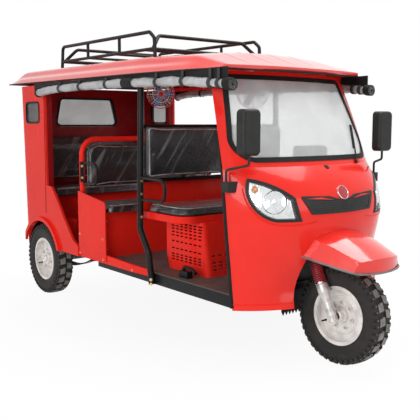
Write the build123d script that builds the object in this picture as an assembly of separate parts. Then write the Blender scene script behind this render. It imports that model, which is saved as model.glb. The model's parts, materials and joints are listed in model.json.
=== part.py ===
"""Three-wheeled passenger rickshaw: a closed nose, an open cabin with three rows of seats, a luggage rack."""
from build123d import *
import math
import os

# All lengths are millimetres.  X runs across (the vehicle's right side is -X), a "station" is the distance
# behind the front axle along +Y, and heights are measured up from the ground.  Pieces are drawn from the
# front axle and moved to the middle of the vehicle when they are written.
os.makedirs("parts", exist_ok=True)

seat_gap = 0.3            # gap left where one piece rests on another
run_gap = 0.1             # round a shaft in its bearing

# --- wheels -------------------------------------------------------------------------------------------
wheelbase = 2592.0
rear_track = 1102.0
tyre_radius = 280.0       # to the lugs' tips
tyre_width = 135.0
lug_depth = 11.0
lug_count = 22
lug_share = 0.62          # part of the pitch that a lug fills
lug_gap = 7.0             # groove along the middle of the tread
flange_radius = 168.0
rim_width = 110.0
rim_wall = 4.0
rim_bed_depth = 16.0
disc_offset = 12.0        # how far the wheel disc sits outboard of the rim's middle
hub_radius = 44.0
boss_count, boss_circle, boss_radius, boss_height = 7, 72.0, 17.0, 7.0
front_axle_radius = 10.0
rear_stub_radius = 17.0
drum_radius = 98.0

# --- steering -----------------------------------------------------------------------------------------
rake = 26.0               # lean of the steering axis from upright
fork_offset = 30.0        # how far the legs stand ahead of the steering axis
fork_spread = 101.0       # each leg from the middle
leg_radius = 27.0
boot_radius = 26.0
boot_start, boot_end = 200.0, 345.0      # along the leg, from the axle
yoke_low = 372.0
yoke_thick = 26.0
head_length = 190.0
head_radius = 27.0
stem_radius = 15.0
bar_reach = 955.0         # along the steering axis to the handlebar clamp
bar_half_width = 310.0
parked_steer = 4.8        # the front wheel is left turned a little to the vehicle's left

# --- body: the sections of the nose and the screen ---------------------------------------------------------
cab_wall = 18.0
end_reach = 12.0          # how far the outermost sections are carried on before the ends are cut level
# height, station at the middle, half width and station of the brow, half width and station of the door edge
nose_sections = (
    (347.0, 35.0, 300.0, 75.0, 600.0, 264.0),
    (690.0, 35.0, 300.0, 75.0, 600.0, 303.0),
    (880.0, 6.0, 292.0, 42.0, 600.0, 326.0),
    (985.0, 36.0, 290.0, 70.0, 600.0, 337.0),
    (1120.0, 164.0, 300.0, 193.0, 598.0, 352.0),
)
screen_sections = (
    (1120.0, 164.0, 300.0, 193.0, 598.0, 352.0),
    (1400.0, 319.0, 300.0, 346.0, 572.0, 445.0),
    (1652.0, 456.0, 290.0, 480.0, 535.0, 545.0),
)
screen_low, screen_high = 1145.0, 1631.0
screen_low_half, screen_high_half = 574.0, 480.0
screen_corner_low, screen_corner_high = 118.0, 40.0
shelf_height, shelf_thick, shelf_rear = 1098.0, 5.0, 346.0
instrument_place = (26.0, 300.0, 108.0)      # across, station, half width
instrument_rise = 128.0
gasket_width = 27.0
gasket_stand = 4.0        # how far a rubber seal stands out of the sheet round it
glass_thick = 5.0
arch_low_half, arch_high_half, arch_top = 305.0, 208.0, 646.0
well_half, well_rear, well_top = 265.0, 326.0, 696.0      # the box behind the front wheel
well_flange = 250.0       # station of the flat sheet each side of the box
well_sheet = 4.0
flap_half, flap_low, flap_top = 150.0, 222.0, 400.0
flap_teeth, flap_notch = 11, 24.0
down_tube_foot = 300.0
down_tube_radius = 19.0
fender_wall = 5.0

# --- body: frame, floor and sides ---------------------------------------------------------------------
floor_top = 424.0
floor_thick = 5.0
rail_half = 400.0         # middle of each main frame rail
rail_width, rail_depth = 50.0, 68.0
side_rail_half = 578.5    # outer face of the side rails
side_rail_width = 38.0
side_rail_front, side_rail_rear = 290.0, 1760.0
side_rail_bottom = 350.0
frame_front = 300.0
cross_stations = (690.0, 1240.0, 1720.0, 2080.0)
cross_depth = 40.0
side_outer = 598.0        # outer face of sills and seat frames
sill_bottom, sill_front_top, sill_rear_top = 390.0, 432.0, 464.0
sill_front, sill_bend, sill_rear = 1110.0, 1290.0, 1995.0
pillar_station = 1177.0
pillar_half = 600.0       # at the foot
pillar_top_half = 580.0
pillar_radius = 20.5
frame_top = 1656.0        # top of the tubes that carry the roof

# --- rear body ----------------------------------------------------------------------------------------
body_half = 615.0
body_wall = 22.0
body_front = 2485.0
body_rear_low, body_rear_high = 2925.0, 2968.0
body_corner = 95.0
body_bottom = 352.0
arch_radius = 305.0
arch_lip = 30.0
arch_flare = 20.0
tub_inner = 466.0
tub_top = 622.0
tub_sheet = 6.0
frame_rear = body_rear_low - body_wall - seat_gap

# --- roof ---------------------------------------------------------------------------------------------
roof_sheet = 12.0
# station, half width of the lip, its height, half width and height of the shoulder, height of the crown
roof_sections = (
    (340.0, 556.0, 1655.0, 530.0, 1664.0, 1676.0),
    (640.0, 620.0, 1657.0, 560.0, 1742.0, 1780.0),
    (1150.0, 646.0, 1661.0, 572.0, 1762.0, 1802.0),
    (2890.0, 650.0, 1676.0, 576.0, 1770.0, 1808.0),
    (3040.0, 650.0, 1678.0, 606.0, 1698.0, 1712.0),
)
visor_corner, visor_bulge = 410.0, 345.0      # stations of the visor's edge at its corner and in the middle
roof_rear = 3040.0
edge_depth, edge_width = 9.0, 20.0

# --- seats --------------------------------------------------------------------------------------------
driver_pan_top, driver_pan_depth = 795.0, 42.0
driver_front, driver_rear = 785.0, 1222.0
driver_half = 548.0
driver_cushion_top = 850.0
driver_corner = 110.0
driver_back_low, driver_back_high = 983.0, 1350.0
back_rail_radius = 12.0
middle_front, middle_rear = 1655.0, 1992.0
middle_seat_height = 743.0
middle_cushion_top = 800.0
middle_cushion_front = 1592.0
middle_back_top = 1262.0
middle_back_corner = 110.0
back_tube = 20.0
back_pad_thick = 52.0
rear_front = 2545.0
rear_seat_height = 786.0
rear_cushion_front = 2472.0
rear_cushion_top = 851.0
rear_back_low, rear_back_high = 885.0, 1262.0

# --- power unit ---------------------------------------------------------------------------------------
cover_half = 418.0
cover_sheet = 4.0
cover_front_low, cover_front_high = 706.0, 768.0
cover_rear, cover_foot_rear = 1138.0, 1108.0
cover_corner = 38.0
slot_length, slot_height = 30.0, 9.0
slot_levels = (491.0, 509.0, 526.0, 563.0, 609.0, 647.0, 668.0, 690.0, 708.0, 726.0)
slot_columns, slot_front, slot_pitch = 7, 790.0, 46.2
front_slot_levels = (466.0, 487.0, 508.0, 550.0)
front_slot_places = (-354.0, -304.0, -254.0, -204.0, 204.0, 254.0, 304.0, 354.0)
engine_size = (380.0, 300.0, 345.0)
cradle_top = 321.0
engine_station = 940.0

edge_stand = 7.0          # how far the rubber edge stands out past the lip
mid_station = (roof_rear + edge_stand - tyre_radius) / 2      # middle of the overall length


# --- drawing helpers ----------------------------------------------------------------------------------
def block(x0, x1, y0, y1, z0, z1):
    return Pos((x0 + x1) / 2, (y0 + y1) / 2, (z0 + z1) / 2) * Box(x1 - x0, y1 - y0, z1 - z0)


def side_prism(points, x0, x1):
    """A side-view outline of (station, height) points, drawn out across from x0 to x1."""
    outline = make_face(Polyline(*points, close=True))
    return extrude(Plane.YZ.offset(x0) * outline, x1 - x0)


def front_prism(face, y0, y1):
    """A front-view face drawn out along the vehicle from y0 to y1."""
    return extrude(Plane.XZ.offset(-y1) * face, y1 - y0)


def plan_prism(points, z0, z1):
    return Pos(0, 0, z0) * extrude(make_face(Polyline(*points, close=True)), z1 - z0)


def bar(points, radius, bend=None):
    """A round bar along straight runs, joined by arcs of radius bend."""
    path = FilletPolyline(*points, radius=bend) if bend else Polyline(*points)
    start = Plane(origin=path @ 0, z_dir=path % 0)
    return sweep(start * Circle(radius), path=path, transition=Transition.ROUND)


def both_sides(shape):
    return Compound(children=[shape, mirror(shape, about=Plane.YZ)])


def solids_of(*shapes):
    """Several pieces that do not touch, kept in one file."""
    found = []
    for shape in shapes:
        found.extend(shape.solids())
    return Compound(children=found)


def save(name, shape):
    placed = Pos(0, -mid_station, 0) * Compound(children=list(shape.solids()))
    export_step(placed, f"parts/{name}.step")


# --- the nose and the windscreen frame ----------------------------------------------------------------
def plan_section(row, inset, back):
    """One level plan of the cab: a shallow front arc, a rounded corner each side, and a straight back."""
    height, nose, brow_x, brow_y, door_x, door_y = row
    corner_x = door_x - inset
    left_brow, right_brow = (-brow_x, brow_y + inset), (brow_x, brow_y + inset)
    front = ThreePointArc(left_brow, (0, nose + inset), right_brow)
    right = TangentArc(right_brow, (corner_x, door_y), tangent=front % 1)
    left = mirror(right, about=Plane.YZ)
    back_line = Polyline((corner_x, door_y), (corner_x, door_y + back), (-corner_x, door_y + back),
                         (-corner_x, door_y))
    return Pos(0, 0, height) * make_face(left + front + right + back_line)


def cab_loft(rows, inset, back, below=0, above=0):
    """A smooth body through the sections, cut level at its ends, or a few mm past them."""
    ends = [lean_on(rows[0], rows[1])] + list(rows[1:-1]) + [lean_on(rows[-1], rows[-2])]
    body = loft([plan_section(row, inset, back) for row in ends])
    return body & block(-800, 800, -200, 900, rows[0][0] - below, rows[-1][0] + above)


def lean_on(end, neighbour):
    """The end section moved a little outward along the line from its neighbour."""
    share = end_reach / abs(end[0] - neighbour[0])
    return tuple(e + (e - n) * share for e, n in zip(end, neighbour))


def screen_outline(inset):
    low, high = screen_low + inset, screen_high - inset
    low_half, high_half = screen_low_half - inset, screen_high_half - inset
    face = make_face(Polyline((-low_half, low), (low_half, low), (high_half, high), (-high_half, high),
                              close=True))
    lows = face.vertices().filter_by(lambda v: v.Y < (low + high) / 2)
    face = fillet(lows, screen_corner_low - inset)
    highs = face.vertices().sort_by(Axis.Y)[-4:]
    highs = [v for v in face.vertices() if v.Y > high - 1]
    return fillet(highs, max(screen_corner_high - inset, 5))


def screen_layer(inset, depth):
    """The part of the raked front that lies between two insets, as a curved sheet."""
    outside = cab_loft(screen_sections, inset, 60)
    inside = cab_loft(screen_sections, inset + depth, 120, 5, 5)
    return outside - inside


def front_cowl():
    nose = cab_loft(nose_sections, 0, 1) - cab_loft(nose_sections, cab_wall, 60, 5, 0)
    screen = cab_loft(screen_sections, 0, 1) - cab_loft(screen_sections, cab_wall, 60, 0, 5)
    low = nose_sections[0][0]
    arch = make_face(Polyline((-arch_low_half, low - 5), (arch_low_half, low - 5),
                              (arch_high_half, arch_top),
                              (-arch_high_half, arch_top), close=True))
    arch = fillet([v for v in arch.vertices() if v.Y > arch_top - 1], 60)
    shell = nose + screen
    shell -= front_prism(arch, -200, 250)
    shell -= front_prism(screen_outline(0), 120, 700)
    return shell - lamp_room(0)


def windscreen_gasket():
    ring = screen_outline(seat_gap) - screen_outline(gasket_width)
    return screen_layer(-gasket_stand, cab_wall + gasket_stand) & front_prism(ring, 120, 700)


def windscreen():
    pane = screen_outline(gasket_width + seat_gap)
    return screen_layer(6, glass_thick) & front_prism(pane, 120, 700)


# --- front fender, grille and lamps -------------------------------------------------------------------
# station, half width at the edge, edge height, half width and height of the crease, height of the crown
fender_sections = (
    (85.0, 252.0, 630.0, 202.0, 738.0, 785.0),
    (-80.0, 225.0, 603.0, 186.0, 695.0, 738.0),
    (-278.0, 178.0, 570.0, 150.0, 622.0, 646.0),
)
fender_corner, fender_tip = -228.0, -276.0      # stations of the front edge at its corners and in the middle


def fender_section(row, inset, low):
    station, edge_half, edge, crease_half, crease, crown = row
    edge_half, crease_half = edge_half - inset, crease_half - inset
    crease, crown = crease - inset, crown - inset
    right_top, left_top = (crease_half, crease), (-crease_half, crease)
    sides = Polyline(left_top, (-edge_half, edge - low), (edge_half, edge - low), right_top)
    top = ThreePointArc(right_top, (0, crown), left_top)
    return Plane.XZ.offset(-station) * make_face(sides + top)


def fender_plan(inset):
    """Seen from above: the bowed front edge of the fender."""
    half, side = fender_sections[0][1] + 50, fender_sections[-1][1] - inset
    corner, tip = fender_corner + inset, fender_tip + inset
    front = ThreePointArc((-side, corner), (0, tip), (side, corner))
    rest = Polyline((side, corner), (half, corner + 40), (half, 200), (-half, 200), (-half, corner + 40),
                    (-side, corner))
    return Pos(0, 0, 500) * extrude(make_face(front + rest), 400)


def front_fender():
    outside = loft([fender_section(row, 0, 0) for row in fender_sections], ruled=True) & fender_plan(0)
    first = fender_sections[0]
    inner_rows = ((first[0] + 2,) + first[1:],) + fender_sections[1:]
    inside = loft([fender_section(row, fender_wall, 3) for row in inner_rows], ruled=True)
    shell = outside - (inside & fender_plan(fender_wall))
    shell -= cab_loft(nose_sections, -seat_gap, 60, 5, 0)
    return shell.solids().sort_by(SortBy.VOLUME)[-1]


# the right half of each outline in front view: half width, height, from the middle outward and back
grille_half = ((0.0, 931.0), (104.0, 960.0), (299.0, 968.0), (240.0, 867.0), (0.0, 864.0))
insert_half = ((84.0, 939.0), (165.0, 957.0), (268.0, 953.0), (172.0, 947.0))
grille_rib, grille_rib_pitch = 3.0, 13.0
grille_rib_low, grille_rib_count = 878.0, 5


def nose_layer(inset, depth):
    return cab_loft(nose_sections, inset, 1) - cab_loft(nose_sections, inset + depth, 60, 5, 5)


def grille_face():
    right = list(grille_half)
    left = [(-x, z) for x, z in reversed(right) if x > 0]
    face = make_face(Polyline(*right, *left, close=True))
    return fillet([v for v in face.vertices() if abs(v.X) > 200], 9)


def insert_face(grow):
    """The thin wing-shaped insert each side of the V."""
    face = make_face(Polyline(*insert_half, close=True))
    return offset(face, grow) if grow else face


def grille():
    """A dark panel on the nose with level ribs below the inserts."""
    panel = nose_layer(-6, 5.7) & front_prism(grille_face(), -120, 160)
    panel -= both_sides(front_prism(insert_face(seat_gap), -120, 160))
    grooves = nose_layer(-8, 4.5)
    for k in range(grille_rib_count):
        z = grille_rib_low + k * grille_rib_pitch
        half = 222.0 + (z - grille_rib_low) * 0.55
        panel -= grooves & block(-half, half, -120, 160, z, z + grille_rib_pitch - grille_rib)
    return panel


def grille_inserts():
    return both_sides(nose_layer(-9, 8.7) & front_prism(insert_face(0), -120, 160))


lamp_axis = 50.0          # how far each headlight faces outward from straight ahead
lamp_centre = (445.0, 921.0)      # half width, height
lamp_rim = 16.0


def lamp_face(inset):
    """The almond outline of a headlight, seen along its own axis: u runs outboard, v up."""
    inner_low, inner_top, tip, outer, heel = (-178, -88), (-141, 38), (119, 143), (119, 52), (-50, -88)
    top = ThreePointArc(inner_top, (-20, 108), tip)
    side = ThreePointArc(tip, (125, 98), outer)
    under = ThreePointArc(outer, (50, -44), heel)
    face = make_face(top + side + under + Line(heel, inner_low) + Line(inner_low, inner_top))
    return offset(face, -inset) if inset else face


def lamp_room(inset):
    """What the two headlights take out of the nose."""
    return both_sides(nose_layer(-8, 60) & lamp_prism(inset, 200, 200))


def lamp_prism(inset, front, back):
    half, height = lamp_centre
    turn = math.radians(lamp_axis)
    facing = Vector(math.sin(turn), -math.cos(turn), 0)
    plane = Plane(origin=(half, 150, height), x_dir=(math.cos(turn), math.sin(turn), 0), z_dir=facing)
    return extrude(plane.offset(-back) * lamp_face(inset), front + back)


def headlights():
    """The housings: a rim on the nose round a shallow bowl."""
    housing = nose_layer(-5, 36) & lamp_prism(seat_gap, 200, 200)
    housing -= nose_layer(-20, 48) & lamp_prism(lamp_rim, 200, 200)
    return both_sides(housing)


def headlight_lenses():
    return both_sides(nose_layer(-4, 3) & lamp_prism(lamp_rim + seat_gap, 200, 200))


mirror_centre = (552.0, 190.0, 1308.0)
mirror_size = (122.0, 62.0, 244.0)
mirror_foot = (600.0, 300.0, 1018.0)
mirror_arm_radius = 7.0
wiper_foot, wiper_heel, wiper_tip = (314.0, 1131.0), (360.0, 1205.0), (441.0, 1346.0)


def mirrors():
    foot_x, foot_y, foot_z = mirror_foot
    x, y, z = mirror_centre
    width, depth, height = mirror_size
    head = fillet((Pos(-x, y, z) * Box(width, depth, height)).edges().filter_by(Axis.Y), 28)
    head = fillet(head.faces().sort_by(Axis.Y)[0].edges(), 18)
    arm = bar([(-foot_x - 16, foot_y, foot_z), (-foot_x - 16, foot_y, foot_z + 92), (-x, y, foot_z + 119),
               (-x, y, z - height / 2 + 10)], mirror_arm_radius, 18)
    foot = block(-foot_x - 26, -foot_x + 60, foot_y - 26, foot_y + 26, foot_z - 28, foot_z + 28)
    foot -= cab_loft(nose_sections, -seat_gap, 200)
    return both_sides(head + arm + foot)


def wiper():
    """The blade lies just over the glass; the arm and its pivot lie over the rubber seal."""
    arm = bar_face(wiper_foot, wiper_heel, 9) + bar_face(wiper_heel, wiper_tip, 9)
    over = front_prism(arm, 60, 600) & screen_layer(-12, 6)
    touching = front_prism(bar_face(wiper_heel, wiper_tip, 8), 60, 600) & screen_layer(-12, 17.4)
    pivot = front_prism(Pos(*wiper_foot) * Circle(10), 60, 600) & screen_layer(-14, 14 - seat_gap)
    return over + touching + pivot


def bar_face(start, end, width):
    """A straight strip between two points of the front view."""
    run = Vector(end[0] - start[0], end[1] - start[1])
    turn = math.degrees(math.atan2(run.Y, run.X))
    middle = Pos((start[0] + end[0]) / 2, (start[1] + end[1]) / 2)
    return middle * Rot(0, 0, turn) * Rectangle(run.length, width)


steer_lean = math.radians(rake)
axle_point = Vector(0, 0, tyre_radius)
up_steer = Vector(0, math.sin(steer_lean), math.cos(steer_lean))
back_steer = Vector(0, math.cos(steer_lean), -math.sin(steer_lean))
steer_origin = axle_point + back_steer * fork_offset
head_start = yoke_low + yoke_thick + 2


def on_steer(distance, across=0.0, ahead=0.0):
    """A point measured up the steering axis from beside the axle."""
    return steer_origin + up_steer * distance + Vector(across, 0, 0) - back_steer * ahead


def steer_rod(start, end, radius, across=0.0, ahead=0.0):
    plane = Plane(origin=on_steer(start, across, ahead), x_dir=(1, 0, 0), z_dir=up_steer)
    return extrude(plane * Circle(radius), end - start)


def down_tubes(radius):
    """The two tubes from the steering head down to the frame's front cross member."""
    top = on_steer(head_start + head_length * 0.45)
    foot = Vector(-down_tube_foot, frame_front + cross_depth / 2, floor_top - floor_thick - down_tube_radius)
    return both_sides(bar([top + Vector(-10, 15, 0), foot], radius))


def chassis_frame():
    rail_bottom = floor_top - floor_thick - rail_depth
    rail_top = floor_top - floor_thick
    frame = None
    for side in (-1, 1):
        x = side * rail_half
        rail = block(x - rail_width / 2, x + rail_width / 2, frame_front, frame_rear, rail_bottom, rail_top)
        outer = side * side_rail_half
        inner = side * (side_rail_half - side_rail_width)
        step = block(min(outer, inner), max(outer, inner), side_rail_front, side_rail_rear, side_rail_bottom,
                     rail_top)
        frame = rail + step if frame is None else frame + rail + step
    for station in (frame_front, *cross_stations, frame_rear - cross_depth):
        half = side_rail_half if station < side_rail_rear else rail_half
        frame += block(-half + 1, half - 1, station, station + cross_depth, rail_top - cross_depth, rail_top)
    head = steer_rod(head_start, head_start + head_length, head_radius)
    frame += down_tubes(down_tube_radius)
    for station in (engine_station - 110, engine_station + 90):
        frame += block(-rail_half, rail_half, station, station + 30, cradle_top - 20, cradle_top)
        for side in (-1, 1):
            x0, x1 = sorted((side * (rail_half - 18), side * (rail_half + 18)))
            frame += block(x0, x1, station, station + 30, cradle_top - 20, rail_bottom + 5)
    frame += head
    frame -= steer_rod(head_start - 10, head_start + head_length + 10, stem_radius + run_gap)
    return frame


def floor():
    low = floor_top - floor_thick + seat_gap
    sheet = block(-side_rail_half, side_rail_half, side_rail_front, frame_rear - seat_gap, low, floor_top)
    width, length, height = engine_size
    sheet -= block(-width / 2 - 12, width / 2 + 12, engine_station - length / 2 - 12,
                   engine_station + length / 2 + 12, low - 5, floor_top + 5)
    for side in (-1, 1):
        x0, x1 = sorted((side * (tub_inner - 2), side * 700))
        sheet -= block(x0, x1, wheelbase - arch_radius - 2, frame_rear, low - 5, floor_top + 5)
    return sheet - down_tubes(down_tube_radius + 1)


def front_bulkhead():
    """The inner sheet of the nose: a box behind the front wheel, a sheet above it and the shelf on top."""
    low, flange_rear = floor_top + seat_gap, well_flange + well_sheet
    box = block(-well_half, well_half, 0, well_rear, low, well_top)
    inside = block(-well_half + well_sheet, well_half - well_sheet, -100, well_rear - well_sheet, low - 10,
                   well_top - well_sheet)
    wall = block(-700, 700, well_flange, flange_rear, low, shelf_height)
    shelf = block(-700, 700, 0, shelf_rear, shelf_height - shelf_thick, shelf_height)
    sheet = (box + wall + shelf - inside) & cab_loft(nose_sections, cab_wall + seat_gap, 120)
    slot = steer_rod(head_start - 30, head_start + head_length + 30, head_radius + 6)
    return sheet - slot - down_tubes(down_tube_radius + 1) - binnacle(seat_gap) - lamp_room(-2)


def mud_flap():
    """The toothed rubber strip hung behind the front wheel."""
    teeth = [(-flap_half, flap_top)]
    for k in range(flap_teeth):
        x = -flap_half + k * 2 * flap_half / flap_teeth
        teeth += [(x, flap_low + flap_notch), (x + flap_half / flap_teeth, flap_low)]
    teeth += [(flap_half, flap_low + flap_notch), (flap_half, flap_top)]
    rear = frame_front + cross_depth + seat_gap
    return front_prism(make_face(Polyline(*teeth, close=True)), rear, rear + 5)


def binnacle(grow):
    """The instrument pod standing on the shelf."""
    x, y, half = instrument_place
    face = Pos(x, y) * RectangleRounded(2 * (half + grow), 2 * (52 + grow), 30 + grow)
    return Pos(0, 0, shelf_height - 60 - grow) * extrude(face, 60 + instrument_rise + 2 * grow)


def sills():
    wall = side_outer - side_rail_half - seat_gap
    plan = plan_prism([(-side_outer, sill_bend), (-side_outer, sill_rear), (-side_outer + wall, sill_rear),
                       (-side_outer + wall, sill_front), (-side_outer + wall - 4, sill_front)],
                      sill_bottom, sill_rear_top + 5)
    profile = side_prism([(sill_front - 5, sill_bottom), (sill_rear + 5, sill_bottom),
                          (sill_rear + 5, sill_rear_top), (sill_front - 5, sill_front_top)], -700, -400)
    return both_sides(plan & profile)


def pillar_path():
    foot = side_rail_bottom + 2
    top = frame_top - cant_depth - seat_gap
    return [(-pillar_top_half, pillar_station, top), (-pillar_half + 3, pillar_station, 687),
            (-pillar_half, pillar_station - 97, 552), (-pillar_half, pillar_station - 132, foot)]


def door_pillars():
    return both_sides(bar(pillar_path(), pillar_radius, 60))


def handle(x, station, low, high, reach):
    """A hand hold: a bar that leaves its post, turns down and comes back."""
    return bar([(x, station, high), (x, station - reach, high - 6), (x, station - reach, low + 6),
                (x, station, low)],
               10, 48)


def grab_handles():
    pillar = handle(-pillar_half + 8, pillar_station - pillar_radius - seat_gap, 876, 1016, 250)
    seat = handle(-back_frame_x, back_station - back_tube - seat_gap, 926, 1076, 195)
    return solids_of(both_sides(pillar), both_sides(seat))


# --- roof ---------------------------------------------------------------------------------------------
def roof_section(row, inset, low):
    station, lip_half, lip, shoulder_half, shoulder, crown = row
    lip_half, shoulder_half = lip_half - inset, shoulder_half - inset
    shoulder, crown = shoulder - inset, crown - inset
    right_top, left_top = (shoulder_half, shoulder), (-shoulder_half, shoulder)
    sides = Polyline(left_top, (-lip_half, lip - low), (lip_half, lip - low), right_top)
    return Plane.XZ.offset(-station) * make_face(sides + ThreePointArc(right_top, (0, crown), left_top))


def roof_plan(grow):
    """The outline of the roof's lip seen from above: a bowed front edge and tapering front sides."""
    side = [(row[1] + grow, row[0]) for row in roof_sections[1:]]
    side[-1] = (side[-1][0], roof_rear + grow)
    corner = (roof_sections[0][1] + 8 + grow, visor_corner - grow)
    right = Polyline(corner, *side)
    left = mirror(right, about=Plane.YZ)
    front = ThreePointArc((-corner[0], corner[1]), (0, visor_bulge - grow), corner)
    back = Line(side[-1], (-side[-1][0], side[-1][1]))
    return make_face(front + right + back + left)


def roof():
    outside = loft([roof_section(row, 0, 0) for row in roof_sections], ruled=True)
    return (outside - roof_inside(roof_sheet)) & Pos(0, 0, 1500) * extrude(roof_plan(-1), 500)


def roof_inside(inset):
    """The hollow under the roof, carried on a little below the lip."""
    rows = list(roof_sections)
    rows[0] = (rows[0][0] - 6,) + rows[0][1:]
    rows[-1] = (rows[-1][0] - inset,) + rows[-1][1:]
    return loft([roof_section(row, inset, 8) for row in rows], ruled=True)


def roof_edge():
    ring = extrude(roof_plan(edge_stand), 400) - extrude(roof_plan(edge_stand - edge_width), 400)
    lips = [(row[0], row[2]) for row in roof_sections]
    lips[0] = (visor_bulge - 60, lips[0][1])
    lips[-1] = (roof_rear + 60, lips[-1][1])
    top = [(y, z - seat_gap) for y, z in lips]
    low = [(y, z - edge_depth) for y, z in reversed(lips)]
    return side_prism(top + low, -800, 800) & Pos(0, 0, 1500) * ring


rack_half = 450.0
rack_front, rack_rear = 1207.0, 2496.0
rack_foot, rack_low, rack_top = 1768.0, 1829.0, 1937.0
rack_bar = 12.0
rack_slats = (1330.0, 1690.0, 2050.0, 2410.0)
rack_posts = (1640.0, 2080.0)


def roof_rack():
    side = bar([(-rack_half, rack_front, rack_foot), (-rack_half, rack_front + 6, rack_top - 40),
                (-rack_half, rack_front + 60, rack_top), (-rack_half, rack_rear - 20, rack_top + 6),
                (-rack_half, rack_rear, rack_foot + 8)], rack_bar, 34)
    side += bar([(-rack_half, rack_front, rack_low), (-rack_half, rack_rear - 4, rack_low + 4)],
                rack_bar * 0.9)
    for station in rack_posts:
        side += bar([(-rack_half, station, rack_low), (-rack_half, station, rack_top)], rack_bar * 0.9)
    rack = side + mirror(side, about=Plane.YZ)
    for station in rack_slats:
        rack += bar([(-rack_half, station, rack_low), (rack_half, station, rack_low)], rack_bar * 0.8)
    for foot_station, top_station in ((rack_front + 30, rack_front + 90), (rack_rear - 30, rack_rear - 80)):
        rack += bar([(-rack_half + 4, foot_station, rack_low), (-rack_half + 90, top_station, rack_top - 14),
                     (rack_half - 90, top_station, rack_top - 14), (rack_half - 4, foot_station, rack_low)],
                    rack_bar, 40)
        rack += bar([(-rack_half, foot_station, rack_low), (rack_half, foot_station, rack_low)],
                    rack_bar * 0.9)
    return rack - loft([roof_section(row, -seat_gap, 0) for row in roof_sections], ruled=True)


cant_depth = 26.0
cant_half = 570.0
cant_front = 562.0
bow_stations = (670.0, 1042.6, 1440.0, 1842.6, 2300.0)
bow_half, bow_radius, bow_bend = 470.0, 11.0, 40.0


def roof_row(station):
    """The roof's section row at a station between two of the table's."""
    for near, far in zip(roof_sections, roof_sections[1:]):
        if near[0] <= station <= far[0]:
            share = (station - near[0]) / (far[0] - near[0])
            return [a + (b - a) * share for a, b in zip(near, far)]


def bow_level(station):
    """Height of a bow's middle line, so that its shoulders meet the underside of the roof."""
    row = roof_row(station)
    half, shoulder, crown = row[3] - roof_sheet, row[4] - roof_sheet, row[5] - roof_sheet
    rise = crown - shoulder
    radius = (half ** 2 + rise ** 2) / (2 * rise)
    across = bow_half - bow_radius
    return crown - radius + math.sqrt(radius ** 2 - across ** 2) - bow_radius - seat_gap


def roof_frame():
    """A rail along each side on the pillars, and bows that rise from rail to rail under the roof."""
    z_low = frame_top - cant_depth
    rails = block(-cant_half - 14, -cant_half + 14, cant_front, body_front - seat_gap, z_low, frame_top)
    frame = both_sides(rails)
    for station in bow_stations:
        foot, top = frame_top - cant_depth / 2, bow_level(station)
        frame += bar([(-cant_half, station, foot), (-bow_half, station, top), (bow_half, station, top),
                      (cant_half, station, foot)], bow_radius, bow_bend)
    return frame


roll_radius = 33.0
roll_path = ((-572.0, 300.0, 1562.0), (-618.0, 690.0, 1594.0), (-641.0, 1290.0, 1608.0),
             (-641.0, 1930.0, 1611.0),
             (-651.0, 2420.0, 1606.0), (-652.0, 2598.0, 1604.0))
band_stations = (520.0, 900.0, 1290.0, 1690.0, 2090.0, 2480.0)
band_half = 11.0


def roll_point(station):
    """Where the middle of the right roll lies at a station."""
    for near, far in zip(roll_path, roll_path[1:]):
        if near[1] <= station <= far[1]:
            share = (station - near[1]) / (far[1] - near[1])
            return [near[k] + (far[k] - near[k]) * share for k in range(3)]


def side_curtains():
    """The rolled weather sheets, each tied up to the roof's edge by bands."""
    rings = [Plane.XZ.offset(-y) * Pos(x, z) * Circle(roll_radius) for x, y, z in roll_path]
    roll = loft(rings, ruled=True)
    for station in band_stations:
        x, y, z = roll_point(station)
        top = roof_row(station)[2] - edge_depth - seat_gap - 0.3
        band = extrude(Circle(roll_radius + 2), 2 * band_half)
        roll += Plane.XZ.offset(-station - band_half) * Pos(x, z) * band
        roll += block(x - 8, x + 8, y - band_half, y + band_half, z, top)
    return both_sides(roll)


back_frame_x = side_outer - back_tube - seat_gap
back_station = middle_rear - back_tube - 2


def rounded_slab(half, front, rear, low, high, front_corner, rear_corner):
    slab = block(-half, half, front, rear, low, high)
    upright = slab.edges().filter_by(Axis.Z)
    slab = fillet(upright.sort_by(Axis.Y)[:2], front_corner)
    upright = slab.edges().filter_by(Axis.Z).sort_by(Axis.Y)[-2:]
    return fillet(upright, rear_corner)


def driver_seat_base():
    pan = rounded_slab(driver_half, driver_front, driver_rear, driver_pan_top - driver_pan_depth,
                       driver_pan_top,
                       driver_corner, 10)
    hollow = rounded_slab(driver_half - 8, driver_front + 8, driver_rear - 8,
                          driver_pan_top - driver_pan_depth - 5,
                          driver_pan_top - 6, driver_corner - 8, 8)
    return pan - hollow


def driver_cushion():
    return rounded_slab(driver_half - 6, driver_front + 2, driver_rear - 30, driver_pan_top + seat_gap,
                        driver_cushion_top, driver_corner - 4, 25)


def driver_back_frame():
    rails = [bar([(-pillar_inner(z), pillar_station, z), (pillar_inner(z), pillar_station, z)],
                 back_rail_radius) for z in (driver_back_low + 12, driver_back_high - 12)]
    posts = [block(x - 12, x + 12, pillar_station - back_rail_radius, pillar_station + 10,
                   driver_back_low + 12,
                   driver_back_high - 12) for x in (-260.0, 260.0)]
    return posts[0] + posts[1] + rails[0] + rails[1]


def pillar_inner(height):
    """Half the clear width between the leaning pillars at a height, less the gap where a rail meets them."""
    low, high = pillar_path()[1], pillar_path()[0]
    share = (height - low[2]) / (high[2] - low[2])
    return -(low[0] + (high[0] - low[0]) * share) - pillar_radius - seat_gap


def driver_backrest():
    half = pillar_inner(driver_back_high) - 4
    pad = block(-half, half, pillar_station - 70, pillar_station - back_rail_radius - seat_gap,
                driver_back_low + 26,
                driver_back_high - 22)
    return fillet(pad.edges().filter_by(Axis.Y), 18)


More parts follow.
